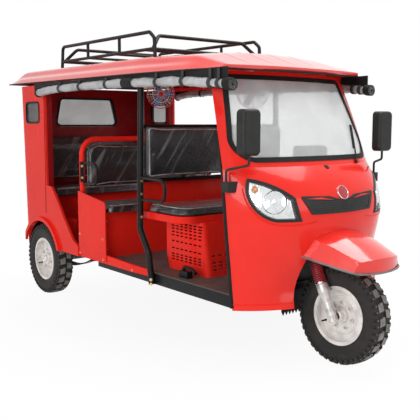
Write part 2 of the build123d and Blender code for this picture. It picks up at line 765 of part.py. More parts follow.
def middle_seat_base():
    wide, narrow = side_outer, side_rail_half - seat_gap
    rear = back_station - back_tube - seat_gap
    step = sill_rear_top + seat_gap
    outside = block(-narrow, narrow, middle_front, rear, floor_top + seat_gap, middle_seat_height)
    outside += block(-wide, wide, middle_front, rear, step, middle_seat_height)
    inside = block(-narrow + 6, narrow - 6, middle_front + 6, rear - 6, floor_top - 5,
                   middle_seat_height - 6)
    return outside - inside


def middle_side_panels():
    outline = make_face(Polyline((1606, 408), (1606, 818), (1992, 872), (1992, 412), close=True))
    outline = fillet([v for v in outline.vertices() if v.Y > 800 and v.X < 1700], 34)
    return both_sides(extrude(Plane.YZ.offset(-side_outer - 8) * outline, 8 - seat_gap))


def middle_cushion():
    return rounded_slab(side_outer - 14, middle_cushion_front,
                        back_station - back_tube - back_pad_thick + 10,
                        middle_seat_height + seat_gap, middle_cushion_top, 40, 12)


def middle_back_frame():
    x, foot = back_frame_x, sill_rear_top + seat_gap
    return bar([(-x, back_station, foot), (-x, back_station, middle_back_top - back_tube),
                (x, back_station, middle_back_top - back_tube), (x, back_station, foot)],
               back_tube, middle_back_corner)


def middle_backrest():
    half = back_frame_x - back_tube - seat_gap
    pad = block(-half, half, back_station - back_tube - 22, back_station + 10, 890,
                middle_back_top - 2 * back_tube - seat_gap)
    return fillet(pad.edges().filter_by(Axis.Y).sort_by(Axis.Z)[-2:],
                  middle_back_corner - back_tube - seat_gap)


def rear_seat_base():
    """Box under the rear seat, with a boxed cover over each wheel beside it."""
    half = body_half - body_wall - seat_gap
    low = floor_top + seat_gap
    rear = body_rear_low - body_wall - 2
    seat = block(-half, half, rear_front, rear, low, rear_seat_height)
    seat -= block(-half + tub_sheet, half - tub_sheet, rear_front + tub_sheet, rear + 5, low - 5,
                  rear_seat_height - tub_sheet)
    tub_front, tub_rear = wheelbase - arch_radius - 2, rear_front
    for side in (-1, 1):
        x0, x1 = sorted((side * tub_inner, side * half))
        tub = block(x0, x1, tub_front, tub_rear + 3, low, tub_top)
        seat += tub
    for side in (-1, 1):
        x0, x1 = sorted((side * (tub_inner + tub_sheet), side * (half + 5)))
        seat -= block(x0, x1, tub_front + tub_sheet, rear + 10, low - 5, tub_top - tub_sheet)
    room = extrude(body_plan(low - 10, body_rear_low, body_wall + seat_gap, 2000), 600)
    return seat & room


def rear_cushion():
    return rounded_slab(body_half - body_wall - 44, rear_cushion_front, 2840, rear_seat_height + seat_gap,
                        rear_cushion_top, 30, 12)


def rear_backrest():
    half = body_half - body_corner - 2
    low = rear_wall(rear_back_low) - body_wall - seat_gap
    high = rear_wall(rear_back_high) - body_wall - seat_gap
    profile = [(low - 66, rear_back_low), (low, rear_back_low), (high, rear_back_high),
               (high - 56, rear_back_high)]
    return side_prism(profile, -half, half)


# --- rear body ----------------------------------------------------------------------------------------
small_window = (2577.0, 2827.0, 1356.0, 1528.0)
small_window_corner = 34.0
rear_window_low, rear_window_high = 1330.0, 1579.0
rear_window_low_half, rear_window_high_half = 309.0, 262.0
rear_window_corner = 46.0
body_roof = 1652.0


def body_plan(height, rear, inset, front):
    half = body_half - inset
    plan = make_face(Polyline((-half, front), (half, front), (half, rear - inset), (-half, rear - inset),
                              close=True))
    corners = [v for v in plan.vertices() if v.Y > front + 10]
    return Pos(0, 0, height) * fillet(corners, body_corner - inset)


def rear_body():
    outside = loft([body_plan(body_bottom, body_rear_low, 0, body_front),
                    body_plan(body_roof, body_rear_high, 0, body_front)])
    slope = (body_rear_high - body_rear_low) / (body_roof - body_bottom) * 5
    inside = loft([body_plan(body_bottom - 5, body_rear_low - slope, body_wall, body_front - 20),
                   body_plan(body_roof + 5, body_rear_high + slope, body_wall, body_front - 20)])
    shell = outside - inside
    wing = make_face(Polyline((body_front + 10, 880), (2405, 872), (2300, 760), (2211, 650), (2074, 500),
                              (1996, 466),
                              (1996, sill_bottom), (body_front + 10, sill_bottom), close=True))
    wing = fillet([v for v in wing.vertices() if v.Y > 860 and v.X < 2450], 40)
    panel = extrude(Plane.YZ.offset(-body_half) * wing, body_wall)
    post = block(-body_half + body_wall - 1, -body_half + body_wall + 40, body_front, body_front + 44,
                 tub_top + 10,
                 body_roof)
    shell += panel + post + mirror(panel + post, about=Plane.YZ)
    wheel = (wheelbase, tyre_radius + 4)
    shell -= Plane.YZ.offset(-700) * Pos(*wheel) * extrude(Circle(arch_radius), 1400)
    lip = Circle(arch_radius + arch_lip) - Circle(arch_radius)
    flare = extrude(Plane.YZ.offset(-body_half - arch_flare) * Pos(*wheel) * lip, arch_flare + 1)
    flare &= block(-700, -500, body_front - 240, body_rear_low - 52, sill_bottom, 800)
    shell += flare + mirror(flare, about=Plane.YZ)
    y0, y1, z0, z1 = small_window
    shell -= side_window(0, -800, 800)
    shell -= front_prism(rear_window(0), 2700, 3100)
    return shell


def side_window(inset, x0, x1):
    y0, y1, z0, z1 = small_window
    face = Plane.YZ.offset(x0) * Pos((y0 + y1) / 2, (z0 + z1) / 2) * RectangleRounded(
        y1 - y0 - 2 * inset, z1 - z0 - 2 * inset, small_window_corner - inset)
    return extrude(face, x1 - x0)


def rear_window(inset):
    low, high = rear_window_low + inset, rear_window_high - inset
    low_half, high_half = rear_window_low_half - inset, rear_window_high_half - inset
    face = make_face(Polyline((-low_half, low), (low_half, low), (high_half, high), (-high_half, high),
                              close=True))
    return fillet(face.vertices(), rear_window_corner - inset)


def rear_wall(height):
    """Station of the slanting rear wall's outer face at a height."""
    rise = (body_rear_high - body_rear_low) / (body_roof - body_bottom)
    return body_rear_low + rise * (height - body_bottom)


def rear_sheet(inset, depth):
    """The slanting rear wall between two insets."""
    low, high = body_bottom, body_roof
    y0, y1 = rear_wall(low) - inset, rear_wall(high) - inset
    return side_prism([(y0, low), (y1, high), (y1 - depth, high), (y0 - depth, low)], -500, 500)


seal_width = 13.0


def cabin_seals():
    side = side_window(seat_gap, -body_half - 4, -body_half + body_wall + 3)
    side -= side_window(seal_width, -body_half - 9, -body_half + body_wall + 9)
    back = front_prism(rear_window(seat_gap) - rear_window(seal_width + 5), 2700, 3100)
    back &= rear_sheet(-4, body_wall + 7)
    return solids_of(windscreen_gasket(), both_sides(side), back)


def cabin_windows():
    side = side_window(seal_width + seat_gap, -body_half + 7, -body_half + 12)
    back = front_prism(rear_window(seal_width + 5 + seat_gap), 2700, 3100) & rear_sheet(7, glass_thick)
    return solids_of(both_sides(side), back)


def tail_lamps():
    face = Pos(-455, 720) * RectangleRounded(90, 150, 16)
    return both_sides(front_prism(face, 2800, 3050) & rear_sheet(-28, 28 - seat_gap))


# --- power unit and running gear ----------------------------------------------------------------------
def cover_profile(inset, low):
    """Side view of the cover: a raked front, and a back that is cut away at its foot."""
    top = driver_pan_top - driver_pan_depth - seat_gap
    return [(cover_front_low + inset, low), (cover_front_high + inset, top - inset),
            (cover_rear - inset, top - inset),
            (cover_rear - inset, 515), (cover_foot_rear - inset, low)]


def cover_body(inset, low):
    body = side_prism(cover_profile(inset, low), -cover_half + inset, cover_half - inset)
    upright = [e for e in body.edges() if e.center().Y < cover_front_high + 9
               and abs(e.center().X) > cover_half - 9 and abs(e.tangent_at(0.5).Z) > 0.5]
    return fillet(upright, cover_corner - inset)


def engine_cover():
    low = floor_top + seat_gap
    return cover_body(0, low) - cover_body(cover_sheet, low - 5) - cover_slots()


def cover_slots():
    """Rows of level vent slots through both sides, and a small grid low down each side of the front."""
    slots = []
    for level in slot_levels:
        for column in range(slot_columns):
            station = slot_front + column * slot_pitch
            slots.append(Pos(0, station, level) * Box(2 * cover_half + 40, slot_length, slot_height))
    for level in front_slot_levels:
        front = cover_front_low + (level - floor_top) * (cover_front_high - cover_front_low) / 330
        for x in front_slot_places:
            slots.append(Pos(x, front, level) * Box(slot_length, 40, slot_height))
    return slots


def engine():
    width, length, height = engine_size
    base = cradle_top + seat_gap
    return block(-width / 2, width / 2, engine_station - length / 2, engine_station + length / 2, base,
                 base + height)


spring_half = 400.0
axle_tube = 36.0
diff_radius = 92.0
diff_width = 130.0
stub_length = 100.0


def rear_axle():
    wheel_inner = rear_track / 2 - 46
    tube = Plane.YZ.offset(-wheel_inner) * Pos(wheelbase, tyre_radius) * Circle(axle_tube)
    axle = extrude(tube, 2 * wheel_inner)
    stub = Plane.YZ.offset(-rear_track / 2 - 30) * Pos(wheelbase, tyre_radius) * Circle(rear_stub_radius)
    axle += extrude(stub, rear_track + 60)
    pot = Plane.YZ.offset(-diff_width / 2) * Pos(wheelbase, tyre_radius) * Circle(diff_radius)
    axle += fillet(extrude(pot, diff_width).edges(), 20)
    return axle


def propeller_shaft():
    start = engine_station + engine_size[1] / 2 + seat_gap
    end = wheelbase - diff_radius - seat_gap - 4
    shaft = bar([(0, start + 40, 343), (0, end - 40, tyre_radius + 8)], 21)
    shaft += bar([(0, start, 343), (0, start + 44, 343)], 30)
    return shaft + bar([(0, end - 46, tyre_radius + 6), (0, end, tyre_radius + 6)], 30)


def leaf_springs():
    """Three leaves under the axle tube, eyes and hangers up to the frame, and the clamp round the tube."""
    eye_height = 322.0
    seat = tyre_radius - axle_tube - seat_gap
    front, rear = 2150.0, 2868.0
    x0 = -spring_half - 22
    pack = None
    for drop, share in ((0.0, 1.0), (9.0, 0.7), (18.0, 0.42)):
        y0 = wheelbase + (front - wheelbase) * share
        y1 = wheelbase + (rear - wheelbase) * share
        rise = (eye_height - seat) * share ** 2
        top = ThreePointArc((y0, seat + rise - drop), (wheelbase, seat - drop), (y1, seat + rise - drop))
        low = ThreePointArc((y1, seat + rise - drop - 9), (wheelbase, seat - drop - 9),
                            (y0, seat + rise - drop - 9))
        face = make_face(top + Line(top @ 1, low @ 0) + low + Line(low @ 1, top @ 0))
        leaf = extrude(Plane.YZ.offset(x0) * face, 44)
        pack = leaf if pack is None else pack + leaf
    frame_low = floor_top - floor_thick - rail_depth - seat_gap
    for y in (front, rear):
        pack += Plane.YZ.offset(x0) * Pos(y, eye_height - 6) * extrude(Circle(15), 44)
        pack += block(x0, x0 + 44, y - 12, y + 12, eye_height - 8, frame_low)
    pack += block(x0 - 8, x0 + 52, wheelbase - 50, wheelbase + 50, seat - 40, seat - 26)
    return both_sides(pack)


# --- steering -----------------------------------------------------------------------------------------
steer_axis = Axis((steer_origin.X, steer_origin.Y, steer_origin.Z), (up_steer.X, up_steer.Y, up_steer.Z))


def parked(shape):
    """Turned about the steering axis as the vehicle stands."""
    return shape.rotate(steer_axis, parked_steer)


def fork_legs():
    legs = None
    for side in (-1, 1):
        leg = steer_rod(-26, boot_start, leg_radius, side * fork_spread, fork_offset)
        leg += steer_rod(boot_start - 1, boot_end, boot_radius, side * fork_spread, fork_offset)
        leg += steer_rod(boot_end - 1, yoke_low - seat_gap, leg_radius * 0.7, side * fork_spread,
                         fork_offset)
        legs = leg if legs is None else legs + leg
    pin = Plane.YZ.offset(-fork_spread - 30) * Pos(0, tyre_radius) * Circle(front_axle_radius)
    return legs + extrude(pin, 2 * fork_spread + 60)


def yoke(distance, thick, half):
    plate = Plane(origin=on_steer(distance), x_dir=(1, 0, 0), z_dir=up_steer)
    front, side, rear = -fork_offset - 22, -fork_offset, -fork_offset + 24
    face = make_face(Polyline((-half, front), (half, front), (half, side), (half - 26, rear), (34, 30),
                              (-34, 30), (-half + 26, rear), (-half, side), close=True))
    return extrude(plate * face, thick)


def steering_column():
    column = yoke(yoke_low, yoke_thick, fork_spread + 19)
    column += steer_rod(yoke_low + 2, bar_reach - 17, stem_radius)
    return column


def handlebar():
    clamp = on_steer(bar_reach)
    x = bar_half_width
    grip = bar([clamp + Vector(-x, 60, 4), clamp + Vector(-x * 0.6, 20, 30), clamp + Vector(-60, 0, 10),
                clamp + Vector(60, 0, 10), clamp + Vector(x * 0.6, 20, 30),
                clamp + Vector(x, 60, 4)], 13, 40)
    seat = Plane(origin=on_steer(bar_reach - 17 + seat_gap), x_dir=(1, 0, 0), z_dir=up_steer)
    return grip + extrude(seat * RectangleRounded(74, 44, 8), 36)


# --- wheels -------------------------------------------------------------------------------------------
def tyre_profile(outer):
    """The tyre's section from bead to bead."""
    half = tyre_width / 2
    seat, bead = rim_width / 2 - rim_wall - seat_gap, flange_radius - rim_bed_depth + seat_gap
    return [(-seat, bead), (-seat, flange_radius + 1), (-half * 0.86, flange_radius + 12),
            (-half, flange_radius + 46),
            (-half * 0.95, outer - 22), (-half * 0.72, outer - 4), (0, outer), (half * 0.72, outer - 4),
            (half * 0.95, outer - 22), (half, flange_radius + 46), (half * 0.86, flange_radius + 12),
            (seat, flange_radius + 1), (seat, bead)]


def tyre(station, x):
    """Lies across X at the given wheel, with block lugs out to the full radius."""
    body = make_face(Polyline(*tyre_profile(tyre_radius - lug_depth), close=True))
    ring = revolve(body, Axis.X, 360)
    crown = revolve(make_face(Polyline(*tyre_profile(tyre_radius), close=True)), Axis.X, 360)
    half = tyre_width / 2
    for side, phase in ((-1, 0.0), (1, 0.5)):
        x0, x1 = sorted((side * lug_gap / 2, side * half * 0.9))
        rows = extrude(Plane.YZ.offset(x0) * lug_wheel(phase), x1 - x0)
        ring += rows & crown
    return Pos(x, station, tyre_radius) * ring


def lug_wheel(phase):
    """A toothed ring, seen from the side, whose teeth are one row of lugs."""
    pitch = 2 * math.pi / lug_count
    floor_radius = tyre_radius - lug_depth - 1
    points = []
    for k in range(lug_count):
        base = (k + phase) * pitch - math.pi / 2
        for angle, radius in ((0, tyre_radius + 2), (lug_share * pitch, tyre_radius + 2),
                              (lug_share * pitch, floor_radius), (pitch, floor_radius)):
            points.append((radius * math.cos(base + angle), radius * math.sin(base + angle)))
    return make_face(Polyline(*points, close=True)) - Circle(tyre_radius - lug_depth - 14)


def rim(bore):
    """Barrel, flanges, dished disc and hub of a wheel whose outboard side faces +X."""
    half = rim_width / 2
    bed = flange_radius - rim_bed_depth
    section = [(-half, flange_radius), (-half, bed - rim_wall), (half, bed - rim_wall),
               (half, flange_radius),
               (half - rim_wall, flange_radius), (half - rim_wall, bed), (-half + rim_wall, bed),
               (-half + rim_wall, flange_radius)]
    barrel = revolve(make_face(Polyline(*section, close=True)), Axis.X, 360)
    d = disc_offset
    disc_section = [(d - 4, bore), (d + 22, bore), (d + 22, hub_radius), (d + 4, hub_radius + 6),
                    (d + 4, bed - rim_wall + 1), (d - 4, bed - rim_wall + 1)]
    wheel = barrel + revolve(make_face(Polyline(*disc_section, close=True)), Axis.X, 360)
    for k in range(boss_count):
        place = Rot(360 / boss_count * k, 0, 0) * Pos(d + 3, 0, boss_circle) * Rot(0, 90, 0)
        wheel += place * extrude(Circle(boss_radius), boss_height + 1, taper=25)
    return wheel


def wheel_ring(x0, x1, inner, outer):
    section = Polyline((x0, inner), (x1, inner), (x1, outer), (x0, outer), close=True)
    return revolve(make_face(section), Axis.X, 360)


def front_rim():
    bore = front_axle_radius + run_gap
    wheel = mirror(rim(bore), about=Plane.YZ) + wheel_ring(-62, 62, bore, 34)
    return Pos(0, 0, tyre_radius) * wheel


def rear_rim():
    """The left wheel, with its brake drum on the inboard side."""
    bore = rear_stub_radius + run_gap
    return Pos(rear_track / 2, wheelbase, tyre_radius) * (rim(bore) + wheel_ring(-36, disc_offset, bore,
                                                                                 drum_radius))


# --- fans ---------------------------------------------------------------------------------------------
fans = (("front", (200.0, 1000.0, 1560.0), -35.0), ("rear", (0.0, 1800.0, 1572.0), -35.0))
fan_radius = 92.0
guard_radius = 106.0
fan_shaft = 4.0


def fan_plane(place, turn):
    angle = math.radians(turn)
    return Plane(origin=place, x_dir=(math.cos(angle), math.sin(angle), 0),
                 z_dir=(math.sin(angle), -math.cos(angle), 0))


def fan_guards():
    """A drum-shaped wire guard round each fan, its motor behind, and a stem up to the ceiling."""
    guards = []
    for name, place, turn in fans:
        plane = fan_plane(place, turn)
        guard = extrude(plane.offset(-70) * Circle(32), 38)
        for near, far, radius in ((-34, -29, guard_radius), (24, 29, guard_radius),
                                  (-34, -30, guard_radius * 0.6),
                                  (25, 29, guard_radius * 0.6)):
            guard += extrude(plane.offset(near) * (Circle(radius) - Circle(radius - 5)), far - near)
        for k in range(8):
            spoke = Rot(0, 0, 45 * k) * Pos(guard_radius / 2 + 8, 0) * Rectangle(guard_radius - 20, 4)
            guard += extrude(plane.offset(-34) * spoke, 4)
            guard += extrude(plane.offset(25) * spoke, 4)
            link = Rot(0, 0, 45 * k) * Pos(guard_radius - 3, 0) * Rectangle(5, 4)
            guard += extrude(plane.offset(-34) * link, 63)
        guard += extrude(plane.offset(25) * Circle(20),
                         4) + extrude(plane.offset(-33) * Circle(fan_shaft), 32)
        back = plane.offset(-52).origin
        guard += block(back.X - 9, back.X + 9, back.Y - 9, back.Y + 9, back.Z,
                       bow_level(back.Y) - bow_radius - seat_gap)
        guards.append(guard)
    return solids_of(*guards)


def fan_blades(place, turn):
    plane = fan_plane(place, turn)
    rotor = extrude(plane.offset(-32 + seat_gap) * Circle(16), 42)
    for k in range(3):
        blade = Pos(51, 0, 0) * Rot(24, 0, 0) * Box(82, 46, 3)
        rotor += plane.offset(-6) * Rot(0, 0, 120 * k) * blade
    return rotor - extrude(plane.offset(-40) * Circle(fan_shaft + run_gap), 42)


# --- smaller pieces -----------------------------------------------------------------------------------
def instruments():
    return fillet(binnacle(0).faces().sort_by(Axis.Z)[-1].edges(), 22)


def brake_lever():
    """The brake's pivot block on the floor, with its lever lying forward."""
    pivot = block(-532, -492, 765, 848, floor_top + seat_gap, floor_top + 42)
    lever = bar([(-510, 836, floor_top + 30), (-509, 826, floor_top + 62), (-505, 762, floor_top + 60),
                 (-503, 717, floor_top + 40)], 11, 14)
    return pivot + lever


# --- writing the pieces -------------------------------------------------------------------------------
def main():
    pieces = {
        "chassis_frame": chassis_frame(),
        "floor": floor(),
        "sills": sills(),
        "front_cowl": front_cowl(),
        "windscreen": windscreen(),
        "window_seals": cabin_seals(),
        "cabin_windows": cabin_windows(),
        "front_fender": front_fender(),
        "grille": grille(),
        "grille_inserts": grille_inserts(),
        "headlight_lenses": headlight_lenses(),
        "mud_flap": mud_flap(),
        "mirrors": mirrors(),
        "wiper": wiper(),
        "front_bulkhead": front_bulkhead(),
        "instruments": instruments(),
        "door_pillars": solids_of(door_pillars(), grab_handles()),
        "driver_seat_base": driver_seat_base(),
        "driver_cushion": driver_cushion(),
        "driver_back_frame": driver_back_frame(),
        "driver_backrest": driver_backrest(),
        "engine_cover": engine_cover(),
        "engine": engine(),
        "brake_lever": brake_lever(),
        "middle_seat_base": solids_of(middle_seat_base(), middle_side_panels()),
        "middle_cushion": middle_cushion(),
        "middle_back_frame": middle_back_frame(),
        "middle_backrest": middle_backrest(),
        "rear_body": rear_body(),
        "rear_seat_base": rear_seat_base(),
        "rear_cushion": rear_cushion(),
        "rear_backrest": rear_backrest(),
        "roof": roof(),
        "roof_edge": roof_edge(),
        "roof_frame": roof_frame(),
        "roof_rack": roof_rack(),
        "side_curtains": side_curtains(),
        "tail_lamps": tail_lamps(),
        "rear_axle": solids_of(rear_axle(), propeller_shaft()),
        "leaf_springs": leaf_springs(),
        "fan_guards": fan_guards(),
        "front_fan_blades": fan_blades(*fans[0][1:]),
        "rear_fan_blades": fan_blades(*fans[1][1:]),
        "steering_column": parked(steering_column()),
        "handlebar": parked(handlebar()),
        "fork_legs": parked(fork_legs()),
        "front_tyre": parked(tyre(0, 0)),
        "front_rim": parked(front_rim()),
        "rear_tyre_right": tyre(wheelbase, -rear_track / 2),
        "rear_rim_right": mirror(rear_rim(), about=Plane.YZ),
        "rear_tyre_left": tyre(wheelbase, rear_track / 2),
        "rear_rim_left": rear_rim(),
        "headlights": headlights(),
    }
    for name, shape in pieces.items():
        save(name, shape)


main()
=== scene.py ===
import json
import math
import bpy
import bmesh
from mathutils import Vector, Matrix, noise
from mathutils.bvhtree import BVHTree


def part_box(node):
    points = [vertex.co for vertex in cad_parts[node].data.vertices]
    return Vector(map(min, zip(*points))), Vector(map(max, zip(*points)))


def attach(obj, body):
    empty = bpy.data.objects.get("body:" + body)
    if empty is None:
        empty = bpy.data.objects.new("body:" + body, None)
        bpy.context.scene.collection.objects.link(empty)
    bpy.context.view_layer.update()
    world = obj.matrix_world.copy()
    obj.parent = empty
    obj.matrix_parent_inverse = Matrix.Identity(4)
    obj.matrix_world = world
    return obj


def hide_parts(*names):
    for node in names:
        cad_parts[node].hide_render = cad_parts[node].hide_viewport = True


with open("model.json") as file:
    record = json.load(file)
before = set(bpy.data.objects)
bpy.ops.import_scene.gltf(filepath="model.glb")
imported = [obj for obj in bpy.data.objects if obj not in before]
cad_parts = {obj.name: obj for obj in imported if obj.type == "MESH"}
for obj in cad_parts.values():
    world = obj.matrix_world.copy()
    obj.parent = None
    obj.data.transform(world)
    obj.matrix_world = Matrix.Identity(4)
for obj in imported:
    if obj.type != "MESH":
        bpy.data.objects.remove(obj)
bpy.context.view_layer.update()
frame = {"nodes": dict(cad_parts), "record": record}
cadNodes = frame["nodes"]
print("frame loaded:", len(cadNodes), "nodes")


frontAxle = -1.3835  # the scene's Y at the part's station 0


def at(x, station, z):
    # millimetres from the front axle, as the part is drawn, to metres in the scene
    return Vector((x / 1000, station / 1000 + frontAxle, z / 1000))


# ---- finishes: one dictionary, each entry is what a painter or trimmer would set ----
finishValues = {
    "redEnamel": dict(colour=(0.90, 0.026, 0.015), shade=(0.82, 0.019, 0.011), patch=3.0, rough=(0.20, 0.30),
                      roughScale=9, spec=0.08, coat=0.05, coatRough=0.04, grain=900, bump=0.02, wave=2.2,
                      waveBump=0.04),
    "noseEnamel": dict(colour=(0.87, 0.028, 0.018), shade=(0.79, 0.021, 0.013), patch=3.0, rough=(0.16, 0.26),
                       roughScale=9, spec=0.14, coat=0.24, coatRough=0.04, grain=900, bump=0.02, wave=2.2,
                       waveBump=0.05),
    "roofEnamel": dict(colour=(0.86, 0.045, 0.035), shade=(0.80, 0.035, 0.028), patch=2.2, rough=(0.14, 0.24),
                       roughScale=7, spec=0.5, coat=1.0, coatRough=0.03, grain=900, bump=0.02, wave=1.8,
                       waveBump=0.05),
    "fenderEnamel": dict(colour=(0.84, 0.032, 0.022), shade=(0.77, 0.024, 0.016), patch=4.0, rough=(0.14, 0.24),
                         roughScale=9, spec=0.4, coat=0.7, coatRough=0.04, grain=900, bump=0.02, wave=3.0,
                         waveBump=0.04),
    "blackEnamel": dict(colour=(0.008, 0.008, 0.008), shade=(0.014, 0.013, 0.013), patch=12, rough=(0.30, 0.44),
                        roughScale=30, spec=0.14, coat=0.05, coatRough=0.15, grain=700, bump=0.04),
    "silverEnamel": dict(colour=(0.86, 0.83, 0.80), shade=(0.60, 0.57, 0.54), patch=14, rough=(0.30, 0.46),
                         roughScale=25, metal=0.35, grain=500, bump=0.05),
    "forkSilver": dict(colour=(0.66, 0.64, 0.62), shade=(0.36, 0.34, 0.33), patch=26, rough=(0.30, 0.50),
                       roughScale=35, metal=0.45, grain=320, bump=0.10),
    "castIron": dict(colour=(0.09, 0.09, 0.095), shade=(0.05, 0.048, 0.045), patch=30, rough=(0.55, 0.75),
                     roughScale=40, metal=0.3, grain=260, bump=0.30),
    "floorMat": dict(colour=(0.105, 0.085, 0.075), shade=(0.06, 0.050, 0.045), patch=9, rough=(0.50, 0.68),
                     roughScale=20, grain=420, bump=0.20, ribs=(90.0, 0.35, "x")),
    "softRubber": dict(colour=(0.013, 0.0125, 0.0125), shade=(0.008, 0.0075, 0.0075), patch=18,
                       rough=(0.50, 0.66), roughScale=40, spec=0.16, grain=600, bump=0.12),
    "tyreRubber": dict(colour=(0.032, 0.030, 0.029), shade=(0.044, 0.041, 0.039), patch=16, rough=(0.56, 0.74),
                       roughScale=45, spec=0.18, grain=380, bump=0.16),
    "treadRubber": dict(colour=(0.26, 0.25, 0.235), shade=(0.13, 0.124, 0.115), patch=22, rough=(0.60, 0.80),
                        roughScale=45, spec=0.2, grain=420, bump=0.25),
    "mattPlastic": dict(colour=(0.016, 0.016, 0.015), shade=(0.010, 0.010, 0.010), patch=20, rough=(0.40, 0.55),
                        roughScale=30, spec=0.28, grain=850, bump=0.16),
    "bluePlastic": dict(colour=(0.03, 0.16, 0.55), shade=(0.02, 0.11, 0.42), patch=25, rough=(0.20, 0.32),
                        roughScale=30, coat=0.3, coatRough=0.1, grain=500, bump=0.03),
    "whiteWire": dict(colour=(0.74, 0.74, 0.72), shade=(0.62, 0.62, 0.60), patch=30, rough=(0.25, 0.38),
                      roughScale=50, coat=0.3, coatRough=0.12, grain=700, bump=0.04),
    "redPlastic": dict(colour=(0.70, 0.018, 0.016), shade=(0.58, 0.014, 0.012), patch=30, rough=(0.20, 0.30),
                       roughScale=30, spec=0.2, coat=0.2, coatRough=0.08, grain=900, bump=0.02),
    "darkRedRubber": dict(colour=(0.34, 0.030, 0.040), shade=(0.18, 0.018, 0.024), patch=40, rough=(0.36, 0.50),
                          roughScale=60, grain=600, bump=0.10),
    # its bright streaking is a painted highlight and its lighter tops a painted sheen on the clear film
    "wrappedVinyl": dict(colour=(0.013, 0.013, 0.014), shade=(0.024, 0.024, 0.025), patch=10,
                         rough=(0.30, 0.46), roughScale=14, spec=0.4, coat=0.6, coatRough=0.12, grain=650,
                         bump=0.12, crease=(6.0, 0.45), glintStreaks=((0.22, 0.22, 0.225), 6.2, 0.635),
                         sheen=(0.16, 0.16, 0.165)),
    # the welt's light grey, drifting to near black, is a painted highlight along the film's edge
    "filmEdgeHighlight": dict(colour=(0.40, 0.39, 0.38), shade=(0.035, 0.034, 0.034), patch=7, rough=(0.20, 0.34),
                     roughScale=30, spec=0.5, coat=0.4, coatRough=0.1, grain=500, bump=0.05),
    "coatedSheet": dict(colour=(0.52, 0.52, 0.53), shade=(0.36, 0.36, 0.37), patch=9, rough=(0.34, 0.52),
                        roughScale=18, metal=0.12, grain=900, bump=0.10, crease=(16.0, 0.60)),
    "blackWebbing": dict(colour=(0.020, 0.020, 0.021), shade=(0.032, 0.031, 0.031), patch=30,
                         rough=(0.62, 0.78), roughScale=60, grain=1200, bump=0.30, ribs=(900.0, 0.3, "y")),
    "chromePlate": dict(colour=(0.86, 0.87, 0.88), shade=(0.74, 0.75, 0.76), patch=30, rough=(0.05, 0.12),
                        roughScale=40, metal=1.0, grain=500, bump=0.01),
    "amberGlass": dict(colour=(0.85, 0.27, 0.03), shade=(0.70, 0.18, 0.02), patch=40, rough=(0.10, 0.18),
                       roughScale=50, coat=0.5, coatRough=0.04, grain=400, bump=0.03),
    "redLens": dict(colour=(0.42, 0.010, 0.010), shade=(0.30, 0.006, 0.006), patch=40, rough=(0.10, 0.18),
                    roughScale=50, coat=0.6, coatRough=0.04, grain=300, bump=0.03, ribs=(260.0, 0.5, "z")),
    "goldZinc": dict(colour=(0.62, 0.47, 0.24), shade=(0.48, 0.36, 0.20), patch=60, rough=(0.25, 0.40),
                     roughScale=80, metal=0.9, grain=500, bump=0.08),
    "badgeEnamel": dict(colour=(0.44, 0.018, 0.030), shade=(0.36, 0.014, 0.024), patch=30, rough=(0.14, 0.24),
                        roughScale=30, coat=0.4, coatRough=0.05, grain=900, bump=0.02),
    "greyTrim": dict(colour=(0.19, 0.18, 0.18), shade=(0.12, 0.115, 0.115), patch=24, rough=(0.42, 0.56),
                     roughScale=40, grain=600, bump=0.10),
    "dialFace": dict(colour=(0.70, 0.70, 0.66), shade=(0.60, 0.60, 0.57), patch=30, rough=(0.30, 0.40),
                     roughScale=40, grain=500, bump=0.02),
    "plateMetal": dict(colour=(0.70, 0.70, 0.68), shade=(0.60, 0.60, 0.58), patch=14, rough=(0.35, 0.50),
                       roughScale=30, metal=0.4, grain=400, bump=0.05),
}
# painted shade inside the rear cab: that colour, then its half width, its rear wall's place and the wall's lean
finishValues["cabinShadedEnamel"] = dict(finishValues["redEnamel"], inner=((0.26, 0.010, 0.012), (0.597, 1.516, 0.034)))


def newNode(tree, kind, inputs, **settings):
    # each input takes a value or another node's output
    node = tree.nodes.new("ShaderNode" + kind)
    for key, value in settings.items():
        setattr(node, key, value)
    for key, value in inputs.items():
        if isinstance(value, bpy.types.NodeSocket):
            tree.links.new(value, node.inputs[key])
        else:
            node.inputs[key].default_value = value
    return node


def mathNode(tree, operation, *inputs):
    return newNode(tree, "Math", dict(enumerate(inputs)), operation=operation).outputs["Value"]


def rangeNode(tree, value, begin, end, low=0.0, high=1.0, **settings):
    inputs = {"Value": value, "From Min": begin, "From Max": end, "To Min": low, "To Max": high}
    return newNode(tree, "MapRange", inputs, **settings).outputs["Result"]


def blendNode(tree, first, second, share):
    inputs = {"A": first, "B": (*second, 1), "Factor": share}
    return newNode(tree, "Mix", inputs, data_type="RGBA").outputs["Result"]


def joinShaders(tree, share, first, second, output):
    both = newNode(tree, "MixShader", {"Fac": share, 1: first, 2: second})
    tree.links.new(both.outputs["Shader"], tree.nodes[output].inputs["Surface"])


def objectPlace(tree):
    return tree.nodes.new("ShaderNodeTexCoord").outputs["Object"]


def noiseNode(tree, place, scale, detail=3.0, distort=0.0):
    inputs = {"Vector": place, "Scale": scale, "Detail": detail, "Distortion": distort}
    return newNode(tree, "TexNoise", inputs).outputs["Fac"]


def bumpNode(tree, height, strength, distance, below):
    inputs = {"Strength": min(1.0, strength), "Distance": distance, "Height": height}
    if below is not None:
        inputs["Normal"] = below
    return newNode(tree, "Bump", inputs).outputs["Normal"]


